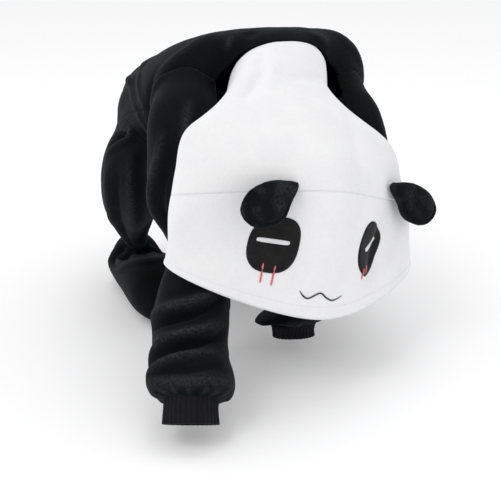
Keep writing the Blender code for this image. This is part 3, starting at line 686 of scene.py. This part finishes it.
parts = [solidOf(torso, (90, 150), before=pastNeck),
         solidOf(sleeveRight, (110, 90), after=freeRing(cuffRightRows[0])),
         solidOf(sleeveLeft, (90, 90), after=freeRing(cuffLeftRows[0])),
         solidOf(legRight, (150, 90)), solidOf(legLeft, (150, 90))]
allPoints = np.vstack([p for p, _ in parts])
allFaces = []
first = 0
for points, faces in parts:
    allFaces += [tuple(first + i for i in f) for f in faces]
    first += len(points)
skin = meshPiece("skin", allPoints, allFaces)
revoxel(skin, skinPlan["voxel"])
print("black cloth joined:", len(skin.data.polygons), "faces")

dist, marks = splitSkin(skin, forms)
names = list(forms)
table = np.array([dist[n] for n in names])
table[0] -= skinPlan["bodyFirst"]
order = np.sort(table, axis=0)
label = table.argmin(axis=0)
edges = pull(skin.data.edges, "vertices", 2, int)
points = coords(skin.data)
gap = order[1] - order[0]
points = relax(points, edges, np.full(len(points), skinPlan["pull"]), skinPlan["smooth"])
nearJoin = skinPlan["joinPull"] * np.exp(-(gap / skinPlan["joinReach"]) ** 2)
points = relax(points, edges, nearJoin, skinPlan["joinTimes"])
setCoords(skin.data, points)
print("joins softened")

sleeveRightFolds = (
    (((0.16, -0.08), (0.24, -0.14), (0.32, -0.19), (0.43, -0.21)), 0.7, 0.40),
    (((0.18, -0.03), (0.27, -0.10), (0.36, -0.14), (0.46, -0.15)), 0.6, -0.45, 1.6),
    (((0.22, 0.03), (0.32, -0.05), (0.42, -0.08)), 0.7, 0.35),
    (((0.30, -0.26), (0.38, -0.26), (0.46, -0.24)), 0.6, 0.35),
    (((0.10, 0.03), (0.16, 0.01), (0.22, 0.02)), 0.8, 0.30),
    (((0.605, -0.20), (0.600, -0.10), (0.590, 0.00), (0.565, 0.07), (0.53, 0.13)), 0.8, 0.55),
    (((0.640, -0.20), (0.636, -0.10), (0.625, 0.00), (0.600, 0.07), (0.565, 0.13)), 0.42, -0.65, 1.5),
    (((0.735, -0.20), (0.695, -0.11), (0.678, -0.03), (0.662, 0.05), (0.635, 0.13)), 0.8, 0.55),
    (((0.775, -0.20), (0.735, -0.11), (0.715, -0.03), (0.70, 0.05), (0.675, 0.125), (0.65, 0.18)), 0.45, -0.80, 1.5),
    (((0.80, -0.18), (0.775, -0.08), (0.755, 0.00), (0.735, 0.10)), 0.7, 0.45),
    (((0.82, -0.15), (0.83, -0.01), (0.79, 0.11)), 0.4, -0.40, 1.5),
    (((0.88, -0.20), (0.885, 0.00), (0.87, 0.18)), 0.9, 0.35),
    (((0.55, 0.30), (0.60, 0.45), (0.63, 0.60)), 0.8, 0.50),
    (((0.60, 0.28), (0.65, 0.45), (0.67, 0.62)), 0.5, -0.60, 1.5),
    (((0.70, 0.30), (0.73, 0.50), (0.75, 0.65)), 0.8, 0.45),
    (((0.76, 0.30), (0.78, 0.50), (0.80, 0.66)), 0.5, -0.55, 1.5),
    (((0.20, 0.40), (0.30, 0.52), (0.40, 0.60)), 0.8, 0.35),
)
sleeveLeftFolds = (
    (((0.14, 0.10), (0.26, 0.16), (0.38, 0.19)), 0.8, 0.40),
    (((0.20, 0.02), (0.30, 0.08), (0.40, 0.11)), 0.6, -0.45, 1.6),
    (((0.34, -0.10), (0.42, 0.05), (0.48, 0.15)), 0.8, -0.40),
    (((0.50, -0.10), (0.55, 0.10), (0.56, 0.25)), 0.9, 0.45),
    (((0.60, -0.15), (0.64, 0.05), (0.66, 0.20)), 0.5, -0.55, 1.5),
    (((0.72, -0.15), (0.75, 0.05), (0.76, 0.20)), 0.9, 0.45),
    (((0.82, -0.15), (0.84, 0.00), (0.84, 0.20)), 0.5, -0.45, 1.5),
    (((0.40, 0.30), (0.50, 0.50)), 0.9, 0.40),
    (((0.62, 0.35), (0.68, 0.60)), 0.8, -0.45),
)


def gathers(t0, t1, count, height, wobble):
    # short puckers where the sleeve is gathered into its cuff
    made = []
    for i in range(count):
        u = i / count + wobble * math.sin(i * 2.3)
        start = (t0, u + 0.01 * math.sin(i * 1.7))
        made.append(((start, (t1, u)), 0.35, height * (0.7 + 0.3 * math.sin(i * 4.1)), 1.6))
    return tuple(made)


def legFolds(side):
    # t runs from the hip to the toe, the ankle is at 0.58
    table = (
        (((0.206, 0.045), (0.275, 0.06), (0.344, 0.075), (0.42, 0.08)), 0.7, 0.45),
        (((0.24, -0.13), (0.22, -0.04), (0.18, -0.01)), 0.6, 0.50),
        (((0.215, -0.14), (0.205, -0.08), (0.19, -0.04)), 0.4, -0.40, 1.5),
        (((0.188, -0.13), (0.194, -0.05), (0.17, -0.02)), 0.5, 0.40),
        (((0.256, -0.015), (0.30, -0.01), (0.40, 0.02), (0.50, 0.02)), 0.8, 0.40),
        (((0.27, -0.07), (0.36, -0.06), (0.48, -0.04), (0.55, -0.03)), 0.6, -0.40, 1.6),
        (((0.28, -0.13), (0.38, -0.11), (0.50, -0.09), (0.56, -0.08)), 0.7, 0.35),
        (((0.40, -0.22), (0.50, -0.20), (0.56, -0.18)), 0.6, 0.35),
        (((0.42, 0.20), (0.50, 0.15), (0.56, 0.12)), 0.7, 0.35),
        (((0.30, 0.30), (0.34, 0.50), (0.30, 0.68)), 0.7, -0.55, 1.6),
        (((0.36, 0.35), (0.39, 0.50), (0.36, 0.65)), 0.8, 0.35),
    )
    fan = tuple((((0.575, a), (0.66, b), (0.78, c)), 0.5, h, 1.7) for a, b, c, h in (
        (0.74, 0.76, 0.78, 0.32), (0.79, 0.80, 0.82, -0.34), (0.84, 0.85, 0.86, 0.34),
        (0.89, 0.89, 0.90, -0.34), (0.94, 0.94, 0.94, 0.34), (0.99, 0.99, 0.99, -0.32),
        (1.04, 1.04, 1.03, 0.32), (1.10, 1.09, 1.08, -0.30), (1.16, 1.14, 1.12, 0.28),
        (1.22, 1.20, 1.18, -0.24)))
    extra = ((((0.60, 0.80), (0.68, 0.90), (0.73, 1.02)), 0.6, -0.40, 1.6),
             (((0.80, 0.80), (0.84, 0.95), (0.84, 1.08)), 1.0, 0.25))
    out = []
    for fold in table + fan + extra:
        out.append((tuple((t, u * side) for t, u in fold[0]),) + fold[1:])
    return out


pressFolds(skin.data, torso, torsoFolds)
pressFolds(skin.data, sleeveRight, sleeveRightFolds + gathers(0.91, 0.985, 17, 0.22, 0.008))
pressFolds(skin.data, sleeveLeft, sleeveLeftFolds + gathers(0.89, 0.985, 17, 0.22, 0.008))
pressFolds(skin.data, legRight, legFolds(1))
pressFolds(skin.data, legLeft, legFolds(-1))
roughen(skin.data, 38.0, 0.0007, 4.0)
print("folds pressed")

# panel lines: side seams, centre front, seat and ankle
seatT = 0.80
sideU = 0.27
pieceNames = ["body_back", "sleeve_right", "sleeve_left", "leg_right", "leg_left", "body_front_left",
              "body_front_right", "seat", "foot_right", "foot_left", "waste"]
bodyT, bodyU = marks["torso"]
bodyU = (bodyU + 0.5) % 1.0 - 0.5
endPlan = {"neckReach": 0.075, "cuffReach": 0.045, "depth": 0.03, "keep": 0.005}
number = {name: i for i, name in enumerate(pieceNames)}
label[(label == number["body_back"]) & (bodyT > seatT)] = number["seat"]
label[(label == number["body_back"]) & (bodyU > sideU)] = number["body_front_left"]
label[(label == number["body_back"]) & (bodyU < -sideU)] = number["body_front_right"]
for side in ("right", "left"):
    label[(label == number["leg_" + side]) & (marks["leg_" + side][0] > ankleT)] = number["foot_" + side]


def cutPast(centre, direction, reach, keep=0.0):
    # what lies past an open end is waste
    away = points - centre
    past = away @ direction - keep
    side = np.linalg.norm(away - past[:, None] * direction, axis=1)
    label[(past > 0) & (past < endPlan["depth"]) & (side < reach)] = number["waste"]


points = coords(skin.data)
neckCentre = toFrame(neckRing(np.arange(40) / 40)).mean(0)
cutPast(neckCentre, neckAcross, endPlan["neckReach"])
for form, row in ((sleeveRight, cuffRightRows[0]), (sleeveLeft, cuffLeftRows[0])):
    end = toFrame(form.rings[-1](np.arange(40) / 40)).mean(0)
    past = toFrame(freeRing(row)(np.arange(40) / 40)).mean(0)
    cutPast(end, unit(past - end), endPlan["cuffReach"], endPlan["keep"])

# each face takes the label most of its corners have
polys = pull(skin.data.loops, "vertex_index", 1, int)
starts = pull(skin.data.polygons, "loop_start", 1, int)
totals = pull(skin.data.polygons, "loop_total", 1, int)
faceLabel = np.array([np.bincount(label[polys[s:s + n]]).argmax() for s, n in zip(starts, totals)])
for _ in range(3):
    # lone faces join the part round them
    touch = np.zeros((len(label), len(pieceNames)))
    for s, n, f in zip(starts, totals, faceLabel):
        touch[polys[s:s + n], f] += 1
    faceLabel = np.array([touch[polys[s:s + n]].sum(0).argmax() for s, n in zip(starts, totals)])
touch = np.zeros((len(label), len(pieceNames)), bool)
for s, n, f in zip(starts, totals, faceLabel):
    touch[polys[s:s + n], f] = True
seamVerts = touch.sum(1) > 1
seamEdges = edges[seamVerts[edges[:, 0]] & seamVerts[edges[:, 1]]]
points = relax(points, seamEdges, seamVerts * skinPlan["pull"], skinPlan["seamTimes"])
setCoords(skin.data, points)
# seams sit a little below the cloth on each side
tree = treeOf(points[seamVerts])
out = normals(skin.data)
far = np.array([tree.find(p)[2] for p in points])
dip = skinPlan["seamDepth"] * np.exp(-(far / skinPlan["seamWidth"]) ** 2)
setCoords(skin.data, points - out * dip[:, None])
skinTree = BVHTree.FromPolygons([tuple(p) for p in coords(skin.data)],
                                [tuple(polys[s:s + n]) for s, n in zip(starts, totals)])
print("panels parted")

blackPieces = {}
points = coords(skin.data)
ridgeValues = pull(skin.data.attributes["ridge"].data, "value")
for index, name in enumerate(pieceNames[:-1]):
    chosen = np.nonzero(faceLabel == index)[0]
    faces = [polys[starts[i]:starts[i] + totals[i]] for i in chosen]
    used = np.unique(np.concatenate(faces))
    swap = np.full(len(points), -1)
    swap[used] = np.arange(len(used))
    piece = meshPiece(name + "_cloth", points[used], [tuple(swap[f]) for f in faces], [plush])
    # the painted crest highlight goes with the cloth
    mark = piece.data.attributes.new("ridge", "FLOAT", "POINT")
    mark.data.foreach_set("value", ridgeValues[used])
    thicken(piece, clothWall)
    blackPieces[name] = piece
bpy.data.objects.remove(skin, do_unlink=True)
print("black panels:", len(blackPieces))

# ribbed cuffs
cuffPlan = {"ribs": 34, "ribHeight": 0.0006, "grid": (16, 272), "wall": 0.0018}
for name, form in (("cuff_right", cuffRight), ("cuff_left", cuffLeft)):
    tt, uu = form.grid((0.0, 1.0), (0, 1), cuffPlan["grid"])
    lift = cuffPlan["ribHeight"] * (np.cos(2 * math.pi * cuffPlan["ribs"] * uu) - 0.6)
    spots = toFrame(form.spot(tt, uu)) + form.normal(tt, uu) * lift[:, None]
    piece = meshPiece(name + "_cloth", spots, gridFaces(*cuffPlan["grid"]), [rib])
    faceOut(piece)
    thicken(piece, cuffPlan["wall"])
    blackPieces[name] = piece
print("cuffs made")

# hood: back and face parts on one surface
hoodPlan = {"counts": (112, 264), "crossSeam": 0.61, "seamDepth": 0.00035, "seamWidth": 0.006,
            "rimStart": 0.975, "rimRise": 0.0007, "hemLine": 0.968, "hemDip": 0.0006, "hemWidth": 0.005,
            "neckDip": 0.0012, "neckWidth": 0.008}
hoodFolds = (
    (((0.15, -0.045), (0.188, -0.06), (0.225, -0.08), (0.26, -0.10)), 0.6, -0.50, 1.6),
    (((0.038, -0.065), (0.09, -0.055), (0.14, -0.05)), 0.7, -0.35),
    (((0.13, -0.02), (0.19, -0.035), (0.25, -0.06)), 0.8, 0.25),
    (((0.156, -0.045), (0.205, 0.00), (0.17, 0.07), (0.106, 0.17)), 0.7, -0.22),
    (((0.34, 0.09), (0.43, 0.075), (0.52, 0.065)), 1.3, -0.35),
    (((0.68, 0.13), (0.80, 0.108), (0.95, 0.075)), 0.9, -0.40),
    (((0.70, 0.17), (0.82, 0.15), (0.94, 0.12)), 1.2, 0.25),
    (((0.36, -0.07), (0.48, -0.06)), 1.6, 0.20),
    (((0.60, -0.18), (0.74, -0.19), (0.86, -0.20)), 1.6, 0.22),
    (((0.60, 0.70), (0.80, 0.69)), 1.0, -0.30),
    (((0.60, 0.30), (0.80, 0.31)), 1.0, -0.30),
    (((0.30, 0.66), (0.50, 0.64)), 1.0, -0.30),
    (((0.30, 0.34), (0.50, 0.36)), 1.0, -0.30),
)
tt, uu = hood.grid((0.0, 1.0), (0, 1), hoodPlan["counts"])
spots = toFrame(hood.spot(tt, uu))
hoodSkin = meshPiece("hood_skin", spots, gridFaces(*hoodPlan["counts"]), [fleece])
faceOut(hoodSkin)
pressFolds(hoodSkin.data, hood, hoodFolds)
roughen(hoodSkin.data, 30.0, 0.0008, 9.0)
spots = coords(hoodSkin.data)
out = normals(hoodSkin.data)
rimT = (tt - hoodPlan["rimStart"]) * 60
lift = -hoodPlan["seamDepth"] * np.exp(-((tt - hoodPlan["crossSeam"]) / hoodPlan["seamWidth"]) ** 2)
hem = hoodPlan["hemDip"] * np.exp(-((tt - hoodPlan["hemLine"]) / hoodPlan["hemWidth"]) ** 2)
lift += hoodPlan["rimRise"] / (1 + np.exp(-rimT * 3)) - hem
lift -= hoodPlan["neckDip"] * np.exp(-(tt / hoodPlan["neckWidth"]) ** 2)
setCoords(hoodSkin.data, spots + out * lift[:, None])
hoodPoints = coords(hoodSkin.data)
hoodTree = BVHTree.FromPolygons([tuple(p) for p in hoodPoints],
                                [tuple(p.vertices) for p in hoodSkin.data.polygons])
seamRow = int(round(hoodPlan["crossSeam"] * hoodPlan["counts"][0]))
cols = hoodPlan["counts"][1]
whitePieces = {}
for name, low, high in (("hood_back", 0, seamRow), ("hood_face", seamRow, hoodPlan["counts"][0])):
    part = hoodPoints[low * cols:(high + 1) * cols]
    piece = meshPiece(name + "_cloth", part, gridFaces(high - low, cols), [fleece])
    bm = bmesh.new()
    bm.from_mesh(piece.data)
    bmesh.ops.recalc_face_normals(bm, faces=bm.faces)
    bm.to_mesh(piece.data)
    bm.free()
    faceAlong(piece, coords(piece.data) - coords(piece.data).mean(0))
    thicken(piece, hoodWall)
    whitePieces[name] = piece
bpy.data.objects.remove(hoodSkin, do_unlink=True)
print("hood made")


def onHood(t, u, out=0.0):
    # points a distance off the finished hood
    t = np.atleast_1d(np.asarray(t, float))
    u = np.atleast_1d(np.asarray(u, float))
    lean = hood.normal(t, u)
    return settle(hoodTree, toFrame(hood.spot(t, u)), lean) + lean * out


def pathLength(points):
    return float(np.linalg.norm(np.diff(points, axis=0), axis=1).sum())


hoodLength = pathLength(hood.spot(np.linspace(0, 1, 40), np.full(40, 0.25)))
hoodGirth = pathLength(hood.spot(np.full(60, 0.5), np.linspace(0, 1, 60)))


def patchOn(name, centre, half, turn, plan, mat):
    # round-cornered felt on the hood: rings from the middle to a thin rounded edge
    rings, steps = plan["grid"]
    bend = plan["corner"]
    turn = math.radians(turn)
    t = [centre[0]]
    u = [centre[1]]
    rise = [plan["wall"]]
    for r in range(1, rings + 1):
        k = r / rings
        for i in range(steps):
            a = 2 * math.pi * i / steps
            reach = k * (abs(math.cos(a)) ** bend + abs(math.sin(a)) ** bend) ** (-1 / bend)
            x = math.cos(a) * reach * half[0]
            y = math.sin(a) * reach * half[1]
            t.append(centre[0] + (x * math.cos(turn) - y * math.sin(turn)) / hoodLength)
            u.append(centre[1] + (x * math.sin(turn) + y * math.cos(turn)) / hoodGirth)
            rise.append(plan["wall"] * (1.0 - 0.65 * k ** 14))
    base = onHood(t, u)
    lean = hood.normal(np.array(t), np.array(u))
    top = base + lean * (plan["lift"] + np.array(rise))[:, None]
    under = base + lean * (plan["lift"] - 0.0006)
    size = len(top)
    faces = []
    for first in (0, size):
        for i in range(steps):
            k = (i + 1) % steps
            faces.append((first, first + 1 + i, first + 1 + k))
        faces += gridFaces(rings - 1, steps, True, first + 1)
    edge = 1 + (rings - 1) * steps
    faces += [(edge + i, edge + (i + 1) % steps, size + edge + (i + 1) % steps, size + edge + i)
              for i in range(steps)]
    obj = meshPiece(name, np.vstack([top, under]), faces, [mat])
    faceOut(obj)
    rim = [top[1 + (rings - 1) * steps + i] for i in range(steps)]
    return obj, rim


def threadGroup():
    # stitches along a path: short rounded stitches spaced evenly
    tree = bpy.data.node_groups.new("stitchRow", "GeometryNodeTree")
    tree.interface.new_socket("Path", in_out="INPUT", socket_type="NodeSocketGeometry")
    for size in ("Spacing", "Length", "Radius"):
        tree.interface.new_socket(size, in_out="INPUT", socket_type="NodeSocketFloat")
    tree.interface.new_socket("Thread", in_out="INPUT", socket_type="NodeSocketMaterial")
    tree.interface.new_socket("Stitches", in_out="OUTPUT", socket_type="NodeSocketGeometry")
    net = Net(tree)
    source = tree.nodes.new("NodeGroupInput")
    path, spacing, length, radius, thread = (Wire(net, source.outputs[i]) for i in range(5))
    spread = net.node("GeometryNodeResampleCurve", {"mode": "LENGTH"}, {"Curve": path, "Length": spacing})
    bead = net.node("GeometryNodeMeshUVSphere", None, {"Segments": 8, "Rings": 6, "Radius": 1.0})
    shape = net.node("ShaderNodeCombineXYZ", None, {0: length, 1: radius, 2: radius})
    bead = net.node("GeometryNodeTransform", None, {"Geometry": bead, "Scale": shape})
    tangent = net.node("GeometryNodeInputTangent")
    turn = net.node("FunctionNodeAlignRotationToVector", {"axis": "X"}, {"Vector": tangent})
    placed = net.node("GeometryNodeInstanceOnPoints", None,
                      {"Points": spread, "Instance": bead, "Rotation": turn})
    solid = net.node("GeometryNodeRealizeInstances", None, {0: placed})
    smooth = net.node("GeometryNodeSetShadeSmooth", None, {0: solid})
    painted = net.node("GeometryNodeSetMaterial", None, {"Geometry": smooth, "Material": thread})
    last = tree.nodes.new("NodeGroupOutput")
    net.join(painted, last, 0)
    return tree


stitchGroup = threadGroup()


def stitchRow(name, path, look, mat, closed=False):
    data = bpy.data.curves.new(name, "CURVE")
    data.dimensions = "3D"
    spline = data.splines.new("POLY")
    spline.points.add(len(path) - 1)
    for point, p in zip(spline.points, path):
        point.co = (*p, 1)
    spline.use_cyclic_u = closed
    source = linked(name + "_path", data)
    mod = source.modifiers.new("stitches", "NODES")
    mod.node_group = stitchGroup
    ids = {s.name: s.identifier for s in stitchGroup.interface.items_tree if s.in_out == "INPUT"}
    mod[ids["Spacing"]] = look["spacing"]
    mod[ids["Length"]] = look["length"]
    mod[ids["Radius"]] = look["radius"]
    mod[ids["Thread"]] = mat
    graph = bpy.context.evaluated_depsgraph_get()
    mesh = bpy.data.meshes.new_from_object(source.evaluated_get(graph))
    bpy.data.objects.remove(source, do_unlink=True)
    return linked(name, mesh)


# panda face: felt patches, white slits, small pink marks and a mouth line
patchPlan = {"grid": (12, 72), "wall": 0.0013, "lift": 0.0002, "corner": 2.6}
slitPlan = {"grid": (4, 48), "wall": 0.0008, "lift": 0.0014, "corner": 5.0}
hemStitch = {"spacing": 0.0030, "length": 0.0011, "radius": 0.00030}
facePieces = {}
# side, then the patch and the slit: t, u, half height, half width, turn
eyeTable = (
    ("right", 0.80, -0.079, 2.4, 2.25, 2.0, 0.79, -0.081, 0.20, 1.50, -5.0),
    ("left", 0.81, 0.0905, 2.75, 1.55, -38.0, 0.80, 0.095, 0.20, 1.3, 25.0),
)
for side, pt, pu, ph, pw, patchTurn, st, su, sh, sw, slitTurn in eyeTable:
    patch = "eye_patch_" + side
    slit = "eye_slit_" + side
    facePieces[patch], rim = patchOn(patch + "_felt", (pt, pu), (ph, pw), patchTurn, patchPlan, felt)
    middle = np.mean(rim, axis=0)
    inset = [p + (middle - p) * 0.05 for p in np.array(rim)]
    facePieces["stitches_" + side] = stitchRow(patch + "_stitches", inset, hemStitch, blackThread, True)
    facePieces[slit] = patchOn(slit + "_felt", (st, su), (sh, sw), slitTurn, slitPlan, whiteFelt)[0]
print("eyes made")


def threadLine(name, path, radius, mat, flat=0.6):
    # satin-stitched line: a low rounded band built from a swept section with stitch ribs
    path = np.array(path)
    steps = 10
    count = len(path)
    points = []
    centre = toFrame(vec(0, 4, 18))
    for i, p in enumerate(path):
        ahead = unit(path[min(i + 1, count - 1)] - path[max(i - 1, 0)])
        up = unit(p - centre)
        side = unit(np.cross(ahead, up))
        up = np.cross(side, ahead)
        taper = min(1.0, 0.35 + 4.0 * min(i, count - 1 - i) / count)
        ribs = 1.0 + 0.10 * math.cos(i * math.pi)
        for j in range(steps):
            a = 2 * math.pi * j / steps
            points.append(p + (side * math.cos(a) + up * math.sin(a) * flat) * radius * taper * ribs)
    faces = gridFaces(count - 1, steps)
    faces.append(tuple(range(steps)))
    faces.append(tuple(range((count - 1) * steps, count * steps)))
    obj = meshPiece(name, points, faces, [mat])
    faceOut(obj)
    return obj


def smoothPath(marks, count):
    marks = np.array(marks, float)
    last = len(marks) - 1
    f = np.linspace(0, last, count)
    i = np.minimum(f.astype(int), last - 1)
    pick = [marks[np.clip(i + j, 0, last)] for j in (-1, 0, 1, 2)]
    return catmull(*pick, (f - i)[:, None])


mouthMarks = ((0.930, -0.036), (0.942, -0.031), (0.947, -0.024), (0.932, -0.010), (0.944, 0.000),
              (0.951, 0.010), (0.942, 0.024))
path = smoothPath(mouthMarks, 60)
mouthLine = onHood(path[:, 0], path[:, 1], 0.0004)
facePieces["mouth"] = threadLine("mouth_thread", mouthLine, 0.0009, blackThread)
# mark: start and end, and where it runs off the felt
markTable = (
    ("right_1", (0.866, -0.086), (0.928, -0.083), 0.882),
    ("right_2", (0.870, -0.071), (0.930, -0.070), 0.882),
    ("left_1", (0.880, 0.070), (0.912, 0.064), 0.900),
    ("left_2", (0.872, 0.080), (0.900, 0.075), 0.895),
)
for name, start, end, edge in markTable:
    path = smoothPath((start, end), 18)
    rise = 0.0005 + 0.0013 / (1 + np.exp((path[:, 0] - edge) * 600))
    raised = onHood(path[:, 0], path[:, 1], 0.0) + hood.normal(path[:, 0], path[:, 1]) * rise[:, None]
    facePieces["mark_" + name] = threadLine("mark_" + name + "_thread", raised, 0.0010, pinkThread)
print("face stitched")

# ears: stuffed half-moons sewn on along the short side, blown up as cloth from a thinner blank
# outline from the top of the seam, outward and downward
earOutline = ((0.0, 0.0), (1.3, -0.5), (3.6, -0.5), (5.8, 0.4), (6.9, 1.9), (6.8, 3.0), (5.8, 4.0), (4.3, 4.3),
              (2.1, 3.6), (1.0, 1.8))
earPlan = {"thick": 1.5, "voxel": 0.0024, "cap": 0.0035, "pressure": 4.0, "frames": 20, "seamIn": 0.80,
           "pinch": 0.0016, "pinchWidth": 0.0022, "layScale": 70.0}


def earBlank(side, baseT, baseU):
    t = np.array([baseT])
    u = np.array([baseU])
    h = 0.004
    n = hood.normal(t, u)[0]
    out = unit((hood.spot(t, u + h) - hood.spot(t, u - h))[0]) * side
    down = unit((hood.spot(t + h, u) - hood.spot(t - h, u))[0])
    reach = unit(out * 0.90 + n * 0.42)
    wide = unit(down - reach * float(np.dot(down, reach)))
    thick = unit(np.cross(reach, wide))
    thick = thick * math.copysign(1.0, float(np.dot(thick, n)))
    start = hood.spot(t, u)[0] + n * 0.35
    rings, steps = 14, 80
    edge = splineRing([start + reach * a + wide * b for a, b in earOutline])(np.arange(steps) / steps)
    middle = edge.mean(0)
    points = [edge]
    faces = []
    for face in (1, -1):
        first = sum(len(p) for p in points)
        for r in range(rings - 1, 0, -1):
            k = r / rings
            crown = thick * face * earPlan["thick"] / 2 * (1 - k ** 3) ** 0.5
            points.append(middle + (edge - middle) * k + crown)
        points.append((middle + thick * face * earPlan["thick"] / 2)[None])
        last = sum(len(p) for p in points) - 1
        for i in range(steps):
            k = (i + 1) % steps
            faces.append((i, k, first + k, first + i))
            faces.append((last - steps + i, last - steps + k, last))
        faces += gridFaces(rings - 2, steps, True, first)
    seam = middle + (edge - middle) * earPlan["seamIn"] + thick * 0.5
    low = np.array([float(np.dot(p - middle, wide)) for p in edge]) > 0.2
    order = np.nonzero(low)[0]
    return toFrame(np.vstack(points)), faces, toFrame(seam[order])


def plump(obj, plan):
    # cushion: voxel blank, then a short pressure run with the movement capped
    revoxel(obj, plan["voxel"])
    before = coords(obj.data)
    cloth = obj.modifiers.new("cloth", "CLOTH")
    cloth.settings.use_pressure = True
    cloth.settings.uniform_pressure_force = plan["pressure"]
    cloth.settings.effector_weights.gravity = 0.0
    cloth.settings.quality = 5
    cloth.point_cache.frame_start = 1
    cloth.point_cache.frame_end = plan["frames"]
    for f in range(1, plan["frames"] + 1):
        bpy.context.scene.frame_set(f)
    applyAll(obj)
    bpy.context.scene.frame_set(1)
    after = coords(obj.data)
    move = after - before
    size = np.maximum(1e-9, np.linalg.norm(move, axis=1))
    setCoords(obj.data, before + move * np.minimum(1.0, plan["cap"] / size)[:, None])


earPieces = {}
for name, side, baseT, baseU in (("ear_right", -1, 0.581, -0.055), ("ear_left", 1, 0.545, 0.130)):
    points, faces, seam = earBlank(side, baseT, baseU)
    piece = meshPiece(name + "_pad", points, faces, [plush])
    faceOut(piece)
    plump(piece, earPlan)
    mod = piece.modifiers.new("fine", "SUBSURF")
    mod.levels = 1
    mod.render_levels = 1
    applyAll(piece)
    faceOut(piece)
    spots = coords(piece.data)
    fromSeam = lineDistance(spots, seam)[0]
    repaint(piece, plush)
    # random pile lay streaks, fading out at the seam, kept in the same attribute the panels use for their painted
    # crest highlight
    lay = np.array([noise.noise(Vector(p) * earPlan["layScale"]) for p in spots])
    mark = piece.data.attributes.new("ridge", "FLOAT", "POINT")
    mark.data.foreach_set("value", np.clip(0.25 + lay * 1.2, 0, 0.8) * (1 - np.exp(-(fromSeam / 0.004) ** 2)))
    pinch = earPlan["pinch"] * np.exp(-(fromSeam / earPlan["pinchWidth"]) ** 2)
    setCoords(piece.data, spots - normals(piece.data) * pinch[:, None])
    earPieces[name] = piece
print("ears filled")

# closure strip under the belly
placketPlan = {"span": (0.0727, 0.5818), "half": 0.015, "grid": (60, 10), "wall": 0.0014, "lift": 0.0017}
tt, uu = torso.grid(placketPlan["span"], (0.5 - placketPlan["half"], 0.5 + placketPlan["half"]),
                    placketPlan["grid"], False)
lean = torso.normal(tt, uu)
spots = settle(skinTree, toFrame(torso.spot(tt, uu)), lean) + lean * placketPlan["lift"]
placket = meshPiece("front_placket_cloth", spots, gridFaces(*placketPlan["grid"], False), [plush])
faceAlong(placket, lean)
thicken(placket, placketPlan["wall"])
for i in range(1, 5):
    repaint(bpy.data.objects["button_%d" % i], buttonMat)
print("closure made")

# stitch rows: hood rim and neck seam
seamStitch = {"spacing": 0.0034, "length": 0.0013, "radius": 0.0003}
rimLine = onHood(np.full(160, hoodPlan["hemLine"]), np.arange(160) / 160, 0.0001)
rimStitches = stitchRow("hood_rim_stitches", rimLine, seamStitch, whiteThread, True)
neckLine = onHood(np.full(120, 0.014), np.arange(120) / 120, 0.0001)
neckStitches = stitchRow("neck_seam_stitches", neckLine, seamStitch, whiteThread, True)
print("stitches sewn")

# cloth kinds for the pieces, then every piece attached to the root body with its part in the model hidden
clothSlot = {"cuff_right": "black_rib_knit", "cuff_left": "black_rib_knit", "hood_back": "white_fleece",
             "hood_face": "white_fleece"}


def place(piece, slot, node=None):
    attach(piece, "root")
    if node:
        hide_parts(node)


everyCloth = {**blackPieces, **whitePieces}
for name, piece in everyCloth.items():
    place(piece, clothSlot.get(name, "black_plush"), name)
for name, piece in facePieces.items():
    if name.startswith("eye_patch"):
        place(piece, "charcoal_felt", name)
    elif name.startswith("eye_slit"):
        place(piece, "white_felt", name)
    else:
        place(piece, "charcoal_felt")
for name, piece in earPieces.items():
    place(piece, "black_plush", name)
place(placket, "black_plush", "front_placket")
for piece in (rimStitches, neckStitches):
    place(piece, "white_fleece")
everyCloth["front_placket"] = placket
print("pieces placed")

# floor, light and camera
floor = meshPiece("floor", [(-9, -9, floorZ), (9, -9, floorZ), (9, 9, floorZ), (-9, 9, floorZ)], [(0, 1, 2, 3)])
floorMat = bpy.data.materials.new("pale_floor")
floorMat.use_nodes = True
paint = floorMat.node_tree.nodes["Principled BSDF"]
paint.inputs["Base Color"].default_value = (0.90, 0.90, 0.91, 1)
paint.inputs["Roughness"].default_value = 0.9
paint.inputs["Specular IOR Level"].default_value = 0.1
paint.inputs["Emission Color"].default_value = (1.0, 1.0, 1.0, 1)
paint.inputs["Emission Strength"].default_value = 0.16
floor.data.materials.append(floorMat)

world = bpy.data.worlds.new("soft_room")
bpy.context.scene.world = world
world.use_nodes = True
world.node_tree.nodes["Background"].inputs[0].default_value = (1.0, 1.0, 1.0, 1)
world.node_tree.nodes["Background"].inputs[1].default_value = 0.84


def softLight(name, place, aim, size, watts, tint):
    data = bpy.data.lights.new(name, "AREA")
    data.shape = "DISK"
    data.size = size
    data.energy = watts
    data.color = tint
    obj = linked(name, data)
    obj.location = place
    obj.rotation_euler = (Vector(aim) - Vector(place)).to_track_quat("-Z", "Y").to_euler()


softLight("key_light", (-1.6, -1.0, 1.9), (0, 0, -0.2), 1.1, 10.0, (1.0, 0.99, 0.98))
softLight("top_light", (0.3, 0.5, 2.4), (0, 0, -0.2), 1.4, 9.0, (0.97, 0.98, 1.0))

camData = bpy.data.cameras.new("camera")
camera = linked("camera", camData)
cameraView = {"place": (-0.41, -1.04, 0.128), "yaw": 20.5, "pitch": 19.2, "lens": 69.2}
yaw = math.radians(cameraView["yaw"])
pitch = math.radians(cameraView["pitch"])
look = Vector((math.sin(yaw) * math.cos(pitch), math.cos(yaw) * math.cos(pitch), -math.sin(pitch)))
camera.location = cameraView["place"]
camera.rotation_euler = look.to_track_quat("-Z", "Y").to_euler()
camData.lens = cameraView["lens"]
camData.sensor_width = 36.0
camData.clip_end = 60.0
bpy.context.scene.camera = camera
bpy.context.scene.view_settings.view_transform = "Standard"
